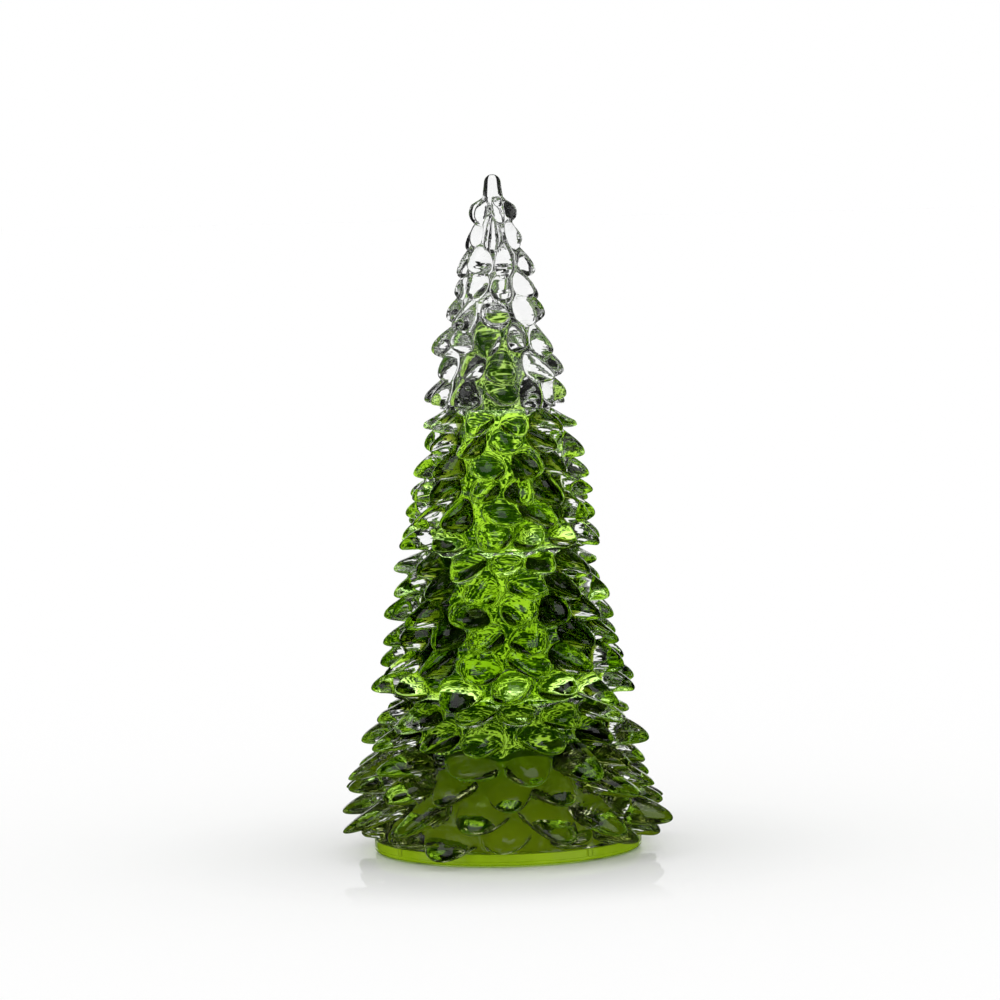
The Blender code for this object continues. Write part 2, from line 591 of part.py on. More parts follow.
def cells_and_contacts(cell_finish, metal):
    """Cells in a row, every second one turned round, with strips and springs at their ends."""
    strip_x = BAY_HALF_LENGTH - SEAT_GAP
    spring_end = strip_x - STRIP_THICKNESS - SEAT_GAP
    for i in range(CELL_COUNT):
        y = (i - (CELL_COUNT - 1) / 2) * CELL_PITCH
        way = 1 if i % 2 == 0 else -1
        body = CELL_LENGTH - CELL_NUB_LENGTH
        cell = turned(f"cell_{i + 1}", [
            (0, CELL_LENGTH), (CELL_NUB_RADIUS, CELL_LENGTH), (CELL_NUB_RADIUS, body),
            (CELL_RADIUS, body), (CELL_RADIUS, 0), (0, 0),
        ], SMALL_SIDES, cell_finish)
        cell.rotation_euler = (0, way * math.pi / 2, 0)
        cell.location = (way * (spring_end - CELL_LENGTH), y, CELL_Z)
        contact_spring(f"contact_spring_{i + 1}", -way, spring_end, y, metal)
    strip_y = CELL_PITCH / 2 - CELL_SPACE
    low_z, high_z = CELL_Z - STRIP_HEIGHT / 2, CELL_Z + STRIP_HEIGHT / 2
    spans = {
        "contact_strip_1": (1, -1, -1), "contact_strip_2": (1, 0, 1),
        "contact_strip_3": (-1, -1, 0), "contact_strip_4": (-1, 1, 1),
    }
    for name, (side, first, last) in spans.items():
        inner, outer = side * (strip_x - STRIP_THICKNESS), side * strip_x
        block(name, (min(inner, outer), first * CELL_PITCH - strip_y, low_z),
              (max(inner, outer), last * CELL_PITCH + strip_y, high_z), metal)


def contact_spring(name, side, seat_x, y, metal):
    """A conical spring of a few turns, wide at its strip and narrow at the cell."""
    curve = bpy.data.curves.new(name, "CURVE")
    curve.dimensions = "3D"
    curve.bevel_depth = SPRING_WIRE_RADIUS
    curve.bevel_resolution = 1
    curve.use_fill_caps = True
    spline = curve.splines.new("POLY")
    steps = SPRING_TURNS * SPRING_STEPS_PER_TURN
    spline.points.add(steps)
    length = SPRING_LENGTH - 2 * SEAT_GAP - 2 * SPRING_WIRE_RADIUS
    for i, point in enumerate(spline.points):
        share = i / steps
        angle = 2 * math.pi * i / SPRING_STEPS_PER_TURN
        radius = SPRING_WIDE_RADIUS + (SPRING_NARROW_RADIUS - SPRING_WIDE_RADIUS) * share
        x = side * (seat_x - SPRING_WIRE_RADIUS - length * share)
        point.co = (x, y + radius * math.cos(angle), CELL_Z + radius * math.sin(angle), 1)
    curve.materials.append(metal)
    TREE.objects.link(bpy.data.objects.new(name, curve))


def battery_door(finish):
    """A flat door with a thumb pad, held by two captive screws."""
    x, y = DOOR_HALF_LENGTH - SEAT_GAP, DOOR_HALF_WIDTH - SEAT_GAP
    top = BASE_UNDER + DOOR_THICKNESS
    door = block("battery_door", (-x, -y, BASE_UNDER), (x, y, top), finish)
    for place in DOOR_SCREW_PLACES:
        hole = screw_hole("door_hole", BASE_UNDER, SCREW_HEAD_HEIGHT + SEAT_GAP, top + CUT_OVERRUN)
        cut(door, moved(hole, place))
    pitch = THUMB_PAD_LENGTH / THUMB_RIB_COUNT
    for i in range(THUMB_RIB_COUNT):
        rib_x = (i - (THUMB_RIB_COUNT - 1) / 2) * pitch
        cut(door, block("thumb_groove", (rib_x - pitch / 4, -y / 2, BASE_UNDER - CUT_OVERRUN),
                        (rib_x + pitch / 4, y / 2, BASE_UNDER + THUMB_PAD_DEPTH)))


def housing_cover(finish):
    """A smooth cone over the cells, with bosses for its own screws and for the lamp board's."""
    foot, top = COVER_FOOT_RADIUS, COVER_TOP_RADIUS
    round_top = arc(top - COVER_EDGE_ROUND, COVER_TOP - COVER_EDGE_ROUND,
                    COVER_EDGE_ROUND, COVER_EDGE_ROUND, 90, 0)
    inner_round = COVER_EDGE_ROUND - COVER_WALL
    round_inside = arc(top - COVER_EDGE_ROUND, COVER_TOP - COVER_EDGE_ROUND,
                       inner_round, inner_round, 0, 90)
    ceiling = COVER_TOP - COVER_WALL
    profile = round_top + [(foot, INSIDE_Z), (foot - COVER_WALL, INSIDE_Z)] + round_inside
    profile += [(WIRE_HOLE_RADIUS, ceiling), (WIRE_HOLE_RADIUS, COVER_TOP)]
    cover = turned("housing_cover", profile, PLAIN_SIDES, finish)
    for place in COVER_SCREW_PLACES:
        join(cover, moved(rod("cover_boss", BOSS_RADIUS, INSIDE_Z, INSIDE_Z + BOSS_HEIGHT), place))
    for place in BOARD_SCREW_PLACES:
        boss = rod("board_boss", BOSS_RADIUS, ceiling - BOARD_SCREW_LENGTH, ceiling + COVER_WALL / 2)
        join(cover, moved(boss, place))
    hole_radius = SCREW_RADIUS + SCREW_CLEARANCE
    for place in COVER_SCREW_PLACES:
        hole = rod("cover_screw_hole", hole_radius, INSIDE_Z - CUT_OVERRUN,
                   INSIDE_Z + BOSS_HEIGHT - BOSS_WALL / 2, SCREW_SIDES)
        cut(cover, moved(hole, place))
    for place in BOARD_SCREW_PLACES:
        hole = rod("board_screw_hole", hole_radius, COVER_TOP - BOARD_SCREW_LENGTH,
                   COVER_TOP + CUT_OVERRUN, SCREW_SIDES)
        cut(cover, moved(hole, place))


def lamp_board(board_finish, led_finish, metal):
    board = rod("led_board", BOARD_RADIUS, BOARD_Z, BOARD_Z + BOARD_THICKNESS, PLAIN_SIDES, board_finish)
    board_top = BOARD_Z + BOARD_THICKNESS
    hole_radius = SCREW_RADIUS + SCREW_CLEARANCE
    for i, place in enumerate(BOARD_SCREW_PLACES):
        hole = rod("board_hole", hole_radius, BOARD_Z - CUT_OVERRUN, board_top + CUT_OVERRUN, SCREW_SIDES)
        cut(board, moved(hole, place))
        shoulder = board_top + SEAT_GAP
        head = shoulder + SCREW_HEAD_HEIGHT
        tip = shoulder - BOARD_THICKNESS - BOARD_SCREW_LENGTH / 2
        moved(turned(f"board_screw_{i + 1}", [
            (0, head), (SCREW_HEAD_RADIUS, head), (SCREW_HEAD_RADIUS, shoulder),
            (SCREW_RADIUS, shoulder), (SCREW_RADIUS, tip), (0, tip),
        ], SCREW_SIDES, metal), place)
    led_z = board_top + SEAT_GAP
    dome = arc(0, led_z + LED_HEIGHT - LED_RADIUS, LED_RADIUS, LED_RADIUS, 90, 0)
    dome[0] = (0, led_z + LED_HEIGHT)
    flange_z = led_z + LED_FLANGE_HEIGHT
    profile = dome + [(LED_RADIUS, flange_z), (LED_FLANGE_RADIUS, flange_z),
                      (LED_FLANGE_RADIUS, led_z), (0, led_z)]
    for i in range(LED_COUNT):
        place = around(LED_CIRCLE_RADIUS, i, LED_COUNT, math.pi / 2)
        moved(turned(f"led_{i + 1}", profile, SMALL_SIDES, led_finish), place)


def lead(name, start, end, bulge, finish):
    """A thin wire that leaves and arrives upright, bowed to one side on the way."""
    curve = bpy.data.curves.new(name, "CURVE")
    curve.dimensions = "3D"
    curve.bevel_depth = LEAD_RADIUS
    curve.bevel_resolution = 1
    curve.use_fill_caps = True
    spline = curve.splines.new("POLY")
    spline.points.add(LEAD_STEPS)
    start, end, bulge = Vector(start), Vector(end), Vector(bulge)
    for i, point in enumerate(spline.points):
        share = i / LEAD_STEPS
        ease = share * share * (3 - 2 * share)
        place = start.lerp(end, ease) + bulge * math.sin(math.pi * share) ** 2
        place.z = start.z + (end.z - start.z) * share
        point.co = (*place, 1)
    curve.materials.append(finish)
    TREE.objects.link(bpy.data.objects.new(name, curve))


def leads(red, black, white):
    end_z = BOARD_Z - SEAT_GAP
    box_z = BOX_TOP + SEAT_GAP
    half_bay = BAY_HALF_WIDTH / 2
    lead("lead_red", (-half_bay, 0, box_z), (-LEAD_SPACING, 0, end_z), (0, LEAD_BULGE, 0), red)
    lead("lead_black", (half_bay, 0, box_z), (LEAD_SPACING, 0, end_z), (0, LEAD_BULGE, 0), black)
    switch_z = INSIDE_Z + SWITCH_HEIGHT + SEAT_GAP
    lead("lead_white", (0, -SWITCH_PLACE, switch_z), (0, -LEAD_SPACING, end_z), (0, 0, 0), white)


def switch(body_finish, slider_finish):
    """A slide switch on the base's floor, worked by a knob in the slot below it."""
    half_x, half_y = SWITCH_LENGTH / 2, SWITCH_WIDTH / 2
    top = INSIDE_Z + SWITCH_HEIGHT
    body = block("switch_body", (-half_x, -SWITCH_PLACE - half_y, INSIDE_Z),
                 (half_x, -SWITCH_PLACE + half_y, top), body_finish)
    room_x, room_y = half_x - SWITCH_WALL, half_y - SWITCH_WALL
    room_z = INSIDE_Z + CARRIAGE_HEIGHT + 2 * SEAT_GAP
    cut(body, block("switch_room", (-room_x, -SWITCH_PLACE - room_y, INSIDE_Z - CUT_OVERRUN),
                    (room_x, -SWITCH_PLACE + room_y, room_z)))
    rest_x = -SWITCH_TRAVEL / 2
    carriage_x = room_x - SEAT_GAP - SWITCH_TRAVEL / 2
    carriage_y = room_y - SEAT_GAP
    slider = block("switch_slider", (rest_x - carriage_x, -carriage_y, INSIDE_Z + SEAT_GAP),
                   (rest_x + carriage_x, carriage_y, INSIDE_Z + SEAT_GAP + CARRIAGE_HEIGHT), slider_finish)
    knob = block("knob", (rest_x - KNOB_LENGTH / 2, -KNOB_WIDTH / 2, BASE_UNDER + KNOB_RECESS),
                 (rest_x + KNOB_LENGTH / 2, KNOB_WIDTH / 2, INSIDE_Z + SEAT_GAP + CARRIAGE_HEIGHT / 2))
    for piece in (slider, knob):
        piece.location.y = -SWITCH_PLACE
    join(slider, knob)


def screws(metal):
    head_z = BASE_UNDER + SEAT_GAP
    for i, place in enumerate(BOX_SCREW_PLACES):
        moved(turned(f"box_screw_{i + 1}", screw_profile(head_z, SCREW_LENGTH), SCREW_SIDES, metal), place)
    for i, place in enumerate(COVER_SCREW_PLACES):
        moved(turned(f"cover_screw_{i + 1}", screw_profile(head_z, SCREW_LENGTH), SCREW_SIDES, metal), place)
    head_z = BASE_UNDER
    for i, place in enumerate(DOOR_SCREW_PLACES):
        moved(turned(f"door_screw_{i + 1}", screw_profile(head_z, SCREW_LENGTH), SCREW_SIDES, metal), place)


def build():
    clear = look("clear_glass", (0.93, 0.96, 0.95), 0.03, transmission=1.0)
    green = look("green_liner", (0.22, 0.55, 0.03), 0.15, transmission=0.6)
    base_green = look("base_green", (0.45, 0.68, 0.06), 0.12, transmission=0.4)
    housing = look("housing_plastic", (0.35, 0.45, 0.10), 0.45)
    black = look("black_plastic", (0.03, 0.03, 0.03), 0.4)
    steel = look("steel", (0.70, 0.70, 0.70), 0.3, metallic=1.0)
    rubber = look("rubber", (0.12, 0.12, 0.12), 0.8)
    open_tier(BOTTOM, MIDDLE, clear)
    open_tier(MIDDLE, UPPER, clear)
    open_tier(UPPER, TOP, clear)
    closed_tier(TOP, clear)
    open_liner(BOTTOM, INSIDE_Z, green)
    open_liner(MIDDLE, MIDDLE["foot_z"], green)
    open_liner(UPPER, UPPER["foot_z"], green)
    closed_liner(TOP, green)
    base_plate(base_green)
    feet(rubber)
    battery_box(housing)
    cells_and_contacts(look("cell_jacket", (0.10, 0.25, 0.12), 0.35, metallic=0.3), steel)
    battery_door(base_green)
    housing_cover(housing)
    lamp_board(look("board", (0.85, 0.86, 0.84), 0.5), look("led", (0.9, 1.0, 0.8), 0.05), steel)
    leads(look("red_lead", (0.6, 0.03, 0.03), 0.4), black, look("white_lead", (0.8, 0.8, 0.8), 0.4))
    switch(black, look("slider", (0.8, 0.8, 0.8), 0.4))
    screws(steel)


build()
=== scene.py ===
import json
import math

import bmesh
import bpy
import numpy as np
from mathutils import Matrix, Vector


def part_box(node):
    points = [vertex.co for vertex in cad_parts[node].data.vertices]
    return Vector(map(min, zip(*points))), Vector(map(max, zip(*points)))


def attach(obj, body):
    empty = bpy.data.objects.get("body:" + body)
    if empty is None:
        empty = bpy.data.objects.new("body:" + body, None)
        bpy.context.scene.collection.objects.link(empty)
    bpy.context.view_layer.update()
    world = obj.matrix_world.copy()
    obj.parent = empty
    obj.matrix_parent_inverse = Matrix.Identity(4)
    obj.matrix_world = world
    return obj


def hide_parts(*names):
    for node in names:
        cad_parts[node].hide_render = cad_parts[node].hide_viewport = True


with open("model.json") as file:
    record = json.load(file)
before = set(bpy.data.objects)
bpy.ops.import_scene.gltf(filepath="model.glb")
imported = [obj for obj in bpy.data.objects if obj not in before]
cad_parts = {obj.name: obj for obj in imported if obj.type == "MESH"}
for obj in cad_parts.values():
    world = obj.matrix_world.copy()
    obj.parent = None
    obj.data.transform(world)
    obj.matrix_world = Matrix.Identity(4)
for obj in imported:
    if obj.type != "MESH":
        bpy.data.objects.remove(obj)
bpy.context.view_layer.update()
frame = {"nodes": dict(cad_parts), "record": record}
nodes = frame["nodes"]
mm = 0.001
mergeDistance = 0.01 * mm


# Shader and geometry node helpers

def put(tree, socket, value):
    if isinstance(value, bpy.types.NodeSocket):
        tree.links.new(value, socket)
    else:
        socket.default_value = value


def add(tree, kind, inputs=(), **settings):
    # a new node, each input filled, by name or number, with a value or with another node's output
    made = tree.nodes.new(kind)
    for key, value in settings.items():
        setattr(made, key, value)
    for key, value in dict(inputs).items():
        put(tree, made.inputs[key], value)
    return made.outputs


def calc(tree, operation, *values):
    return add(tree, "ShaderNodeMath", enumerate(values), operation=operation)[0]


def mapRange(tree, value, low, high, toLow=0.0, toHigh=1.0):
    inputs = {"Value": value, "From Min": low, "From Max": high, "To Min": toLow, "To Max": toHigh}
    return add(tree, "ShaderNodeMapRange", inputs, interpolation_type="SMOOTHSTEP")["Result"]


def colorRamp(tree, value, stops):
    ramp = tree.nodes.new("ShaderNodeValToRGB")
    elements = ramp.color_ramp.elements
    while len(elements) < len(stops):
        elements.new(0.5)
    for element, (at, color) in zip(elements, stops.items()):
        element.position = at
        element.color = (*color, 1)
    tree.links.new(value, ramp.inputs["Fac"])
    return ramp.outputs["Color"]


def newMaterial(name, **values):
    made = bpy.data.materials.new(name)
    made.use_nodes = True
    shader = made.node_tree.nodes["Principled BSDF"]
    for key, value in values.items():
        shader.inputs[key].default_value = value
    return made, made.node_tree, shader


def objectPoint(tree, scale=(1, 1, 1)):
    point = add(tree, "ShaderNodeTexCoord")["Object"]
    return add(tree, "ShaderNodeMapping", {"Vector": point, "Scale": scale})["Vector"]


def texture(tree, kind, scale, point, **values):
    return add(tree, kind, {"Scale": scale, "Vector": point, **values})[0]


def bump(tree, shader, height, distance, strength=1.0):
    inputs = {"Strength": strength, "Distance": distance, "Height": height}
    tree.links.new(add(tree, "ShaderNodeBump", inputs)["Normal"], shader.inputs["Normal"])


def absorb(tree, color, density):
    volume = add(tree, "ShaderNodeVolumeAbsorption", {"Color": (*color, 1), "Density": density})["Volume"]
    tree.links.new(volume, tree.nodes["Material Output"].inputs["Volume"])


def named(tree, name):
    return add(tree, "GeometryNodeInputNamedAttribute", {"Name": name}, data_type="FLOAT")["Attribute"]


def position(tree):
    return add(tree, "GeometryNodeInputPosition")[0]


def newTree(name, floats, **others):
    # a node group with its inputs, and the sockets that they come in by
    tree = bpy.data.node_groups.new(name, "GeometryNodeTree")
    kinds = {"Geometry": "Geometry", **{label: "Float" for label in floats}, **others, "Material": "Material"}
    for label, kind in kinds.items():
        tree.interface.new_socket(label, in_out="INPUT", socket_type="NodeSocket" + kind)
    tree.interface.new_socket("Geometry", in_out="OUTPUT", socket_type="NodeSocketGeometry")
    return tree, tree.nodes.new("NodeGroupInput").outputs


def endTree(tree, geometry, material):
    geometry = add(tree, "GeometryNodeRealizeInstances", {0: geometry})[0]
    geometry = add(tree, "GeometryNodeSetMaterial", {"Geometry": geometry, "Material": material})[0]
    add(tree, "NodeGroupOutput", {0: geometry})
    return tree


# Mesh helpers: places and sizes come in millimetres

def newObject(name, data):
    obj = bpy.data.objects.new(name, data)
    bpy.context.scene.collection.objects.link(obj)
    return obj


def turned(name, profile, sides, material):
    mesh = bpy.data.meshes.new(name)
    count = len(profile)
    closed = profile[0][0] > 0
    edges = [(i, (i + 1) % count) for i in range(count if closed else count - 1)]
    mesh.from_pydata([(r * mm, 0, z * mm) for r, z in profile], edges, [])
    obj = newObject(name, mesh)
    screw = obj.modifiers.new("turn", "SCREW")
    screw.steps = screw.render_steps = sides
    screw.use_merge_vertices = True
    screw.merge_threshold = mergeDistance
    obj.data.materials.append(material)
    return obj


def asMesh(obj):
    bpy.context.view_layer.update()
    graph = bpy.context.evaluated_depsgraph_get()
    mesh = bpy.data.meshes.new_from_object(obj.evaluated_get(graph))
    obj.modifiers.clear()
    obj.data = mesh
    return obj


def smooth(obj, degrees=40):
    obj.data.shade_smooth()
    obj.data.set_sharp_from_angle(angle=math.radians(degrees))
    return obj


def withNodes(obj, name, group, values):
    modifier = obj.modifiers.new(name, "NODES")
    modifier.node_group = group
    sockets = {item.name: item for item in group.interface.items_tree if item.in_out == "INPUT"}
    for key, value in values.items():
        modifier[sockets[key].identifier] = value
    return asMesh(obj)


def place(obj, body, replaced, angle=40):
    asMesh(obj)
    smooth(obj, angle)
    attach(obj, body)
    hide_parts(*replaced)
    print(obj.name, len(obj.data.polygons), "faces")
    return obj


def boxOf(node):
    return [[c / mm for c in corner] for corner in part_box(node)]


def middle(node):
    low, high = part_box(node)
    return [(low[i] + high[i]) / 2 / mm for i in range(3)]


def numbered(name, count):
    return [f"{name}_{i + 1}" for i in range(count)]


def arc(centreR, centreZ, radiusR, radiusZ, start, end, steps):
    angles = [math.radians(start + (end - start) * i / steps) for i in range(steps + 1)]
    return [(centreR + radiusR * math.cos(a), centreZ + radiusZ * math.sin(a)) for a in angles]


# Clear glass

glass = {"ior": 1.49, "tint": (0.90, 0.95, 0.92), "density": 3.0, "waves": 90.0, "flat": 5.0, "relief": 0.35}


def clearGlass():
    made, tree, shader = newMaterial("clearGlass", **{
        "Base Color": (1, 1, 1, 1), "Roughness": 0.0, "IOR": glass["ior"], "Transmission Weight": 1.0,
    })
    absorb(tree, glass["tint"], glass["density"])
    point = objectPoint(tree, (1, 1, glass["flat"]))
    waves = texture(tree, "ShaderNodeTexNoise", glass["waves"], point, Detail=1.0)
    bump(tree, shader, waves, glass["relief"] * mm)
    return made


# Green liners: deepAbove is the height in millimetres above which the bottom one has a deeper green

# the liners' glow is emission painted on their inner faces, though a liner is no lamp; the ramp's dark and
# bright flecks follow the hammered pattern and are painted shade and painted highlight
linerLook = {"ior": 1.49, "tint": (0.90, 0.925, 0.72), "roughness": 0.0, "glassy": 0.35,
             "innerRoughness": 0.25,
             "density": {"bottom": 190.0, "bottomTop": 620.0, "middle": 620.0, "upper": 640.0, "top": 1500.0},
             "deepAbove": 47.0, "fleck": 800.0, "scale": 150.0, "scaleShare": 0.42,
             "paintedGlow": {"bottom": 0.85, "middle": 1.6, "upper": 1.6, "top": 0.8},
             "ramp": {0.44: (0.01, 0.04, 0.001), 0.55: (0.09, 0.20, 0.02), 0.65: (0.74, 1.0, 0.40)},
             "grain": 700.0, "grainRelief": 0.1, "grainStrength": 0.6}


def greenGlass(name):
    made, tree, shader = newMaterial(name + "Green", **{
        "Base Color": (1, 1, 1, 1), "Roughness": linerLook["roughness"], "IOR": linerLook["ior"],
        "Transmission Weight": 1.0,
    })
    absorb(tree, linerLook["tint"], linerLook["density"][name])
    grain = texture(tree, "ShaderNodeTexVoronoi", linerLook["grain"], objectPoint(tree))
    bump(tree, shader, grain, linerLook["grainRelief"] * mm, linerLook["grainStrength"])
    return made


def touching(material):
    # where green lies against clear glass, light passes straight from one into the other
    made = material.copy()
    made.name = material.name + "Touching"
    tree = made.node_tree
    shader = tree.nodes["Principled BSDF"]
    shader.inputs["IOR"].default_value = 1.0
    for link in list(shader.inputs["Normal"].links):
        tree.links.remove(link)
    return made


def paintedGlowFlecks(material, paintedGlow):
    # the hammered inner face of a liner gets painted bright and dark flecks in its colour, and glows with
    # them by emission, though a liner is no lamp
    made = material.copy()
    made.name = material.name + "Flecked"
    tree = made.node_tree
    shader = tree.nodes["Principled BSDF"]
    shader.inputs["Transmission Weight"].default_value = linerLook["glassy"]
    shader.inputs["Roughness"].default_value = linerLook["innerRoughness"]
    point = objectPoint(tree)
    fine = texture(tree, "ShaderNodeTexVoronoi", linerLook["fleck"], point)
    coarse = texture(tree, "ShaderNodeTexVoronoi", linerLook["scale"], point)
    share = linerLook["scaleShare"]
    value = calc(tree, "ADD", calc(tree, "MULTIPLY", fine, 1 - share), calc(tree, "MULTIPLY", coarse, share))
    color = colorRamp(tree, value, linerLook["ramp"])
    tree.links.new(color, shader.inputs["Base Color"])
    tree.links.new(color, shader.inputs["Emission Color"])
    shader.inputs["Emission Strength"].default_value = paintedGlow
    return made


clear = clearGlass()
greens = {name: greenGlass(name) for name in linerLook["density"]}


def faceTable(mesh):
    count = len(mesh.polygons)
    centres, normals, index = np.empty(count * 3), np.empty(count * 3), np.empty(count, dtype=np.int32)
    mesh.polygons.foreach_get("center", centres)
    mesh.polygons.foreach_get("normal", normals)
    mesh.polygons.foreach_get("material_index", index)
    return centres.reshape(-1, 3) / mm, normals.reshape(-1, 3), index


def paintFaces(obj, chosen, index, material):
    index[chosen] = len(obj.data.materials)
    obj.data.materials.append(material)
    obj.data.polygons.foreach_set("material_index", index)
    obj.data.update()
    print(obj.name, material.name, int(chosen.sum()), "faces")


def setTouching(obj, size, radiusOffset, material, low=0.0):
    centres, normals, index = faceTable(obj.data)
    radius = np.hypot(centres[:, 0], centres[:, 1])
    ceiling = size["footZ"] + size["height"] - shell["roof"]
    share = (centres[:, 2] - size["footZ"]) / (ceiling - size["footZ"])
    cone = size["innerFoot"] + (size["innerTop"] - size["innerFoot"]) * share + radiusOffset
    upright = np.abs(normals[:, 2]) < shell["upright"]
    wall = (np.abs(radius - cone) < shell["contact"]) & (share > 0) & (share < 1)
    paintFaces(obj, wall & upright & (centres[:, 2] > low), index, touching(material))


# gives a liner's inner faces their painted flecks and painted glow
def setPaintedGlowFlecks(obj, low, material, paintedGlow):
    centres, normals, index = faceTable(obj.data)
    inward = centres[:, 0] * normals[:, 0] + centres[:, 1] * normals[:, 1] < 0
    paintFaces(obj, inward & (centres[:, 2] > low), index, paintedGlowFlecks(material, paintedGlow))


# Tiers, drawn out into rings of drooping branches

branch = {
    "ringStart": 0.45, "ringEnd": 0.55, "width": 0.45, "rise": 0.74, "fall": 0.60, "round": 2.2, "flare": 1.3,
    "ringWander": 0.08, "turnWander": 0.10, "edgeFade": 0.30,
    "turnWaves": 3, "ringWaves": 4, "turnTwist": 2.4, "ringTwist": -1.7,
}
scatter = {"length": 0.32, "side": 0.13, "down": 0.14, "droop": 0.14}
tierSizes = {
    "bottom": {"footZ": 6.5, "height": 67.7, "footRadius": 63.0, "topRadius": 47.0, "footReach": 24.8,
               "topReach": 12.5, "rings": 6, "footCount": 14, "topCount": 13, "seed": 11, "hem": 0.55,
               "droop": 0.28, "innerFoot": 59.0, "innerTop": 43.0, "coreFoot": 55.0, "coreTop": 26.0},
    "middle": {"footZ": 74.5, "height": 69.5, "footRadius": 53.0, "topRadius": 35.5, "footReach": 12.5,
               "topReach": 11.0, "rings": 6, "footCount": 14, "topCount": 12, "seed": 12, "hem": 1.0,
               "droop": 0.28, "innerFoot": 44.5, "innerTop": 31.5, "coreFoot": 20.0, "coreTop": 15.5},
    "upper": {"footZ": 144.3, "height": 65.5, "footRadius": 40.5, "topRadius": 25.0, "footReach": 11.0,
              "topReach": 9.5, "rings": 6, "footCount": 13, "topCount": 10, "seed": 13, "hem": 1.0,
              "droop": 0.28, "innerFoot": 33.0, "innerTop": 21.0, "coreFoot": 14.0, "coreTop": 11.5},
    "top": {"footZ": 210.1, "height": 99.4, "footRadius": 27.5, "topRadius": 4.9, "footReach": 9.0,
            "topReach": 4.6, "rings": 8, "footCount": 10, "topCount": 5, "seed": 14, "hem": 1.0,
            "droop": 0.28, "innerFoot": 17.8, "innerTop": 0.0, "coreFoot": 15.5, "coreTop": 0.0},
}
shell = {"roof": 3.0, "spigotHeight": 2.5, "spigotWidth": 2.0, "finger": 10.5, "fingerTip": 4.0,
         "domeTop": 254.0, "domeRadius": 8.5, "domeShare": 0.75, "gap": 0.3, "linerWall": 2.0,
         "linerLow": 4.3, "contact": 0.02, "upright": 0.6}
fineness = {"columns": 380, "rows": 22, "gather": 0.45, "easeRows": 0.5, "footGap": 0.001, "rowGap": 1e-4}


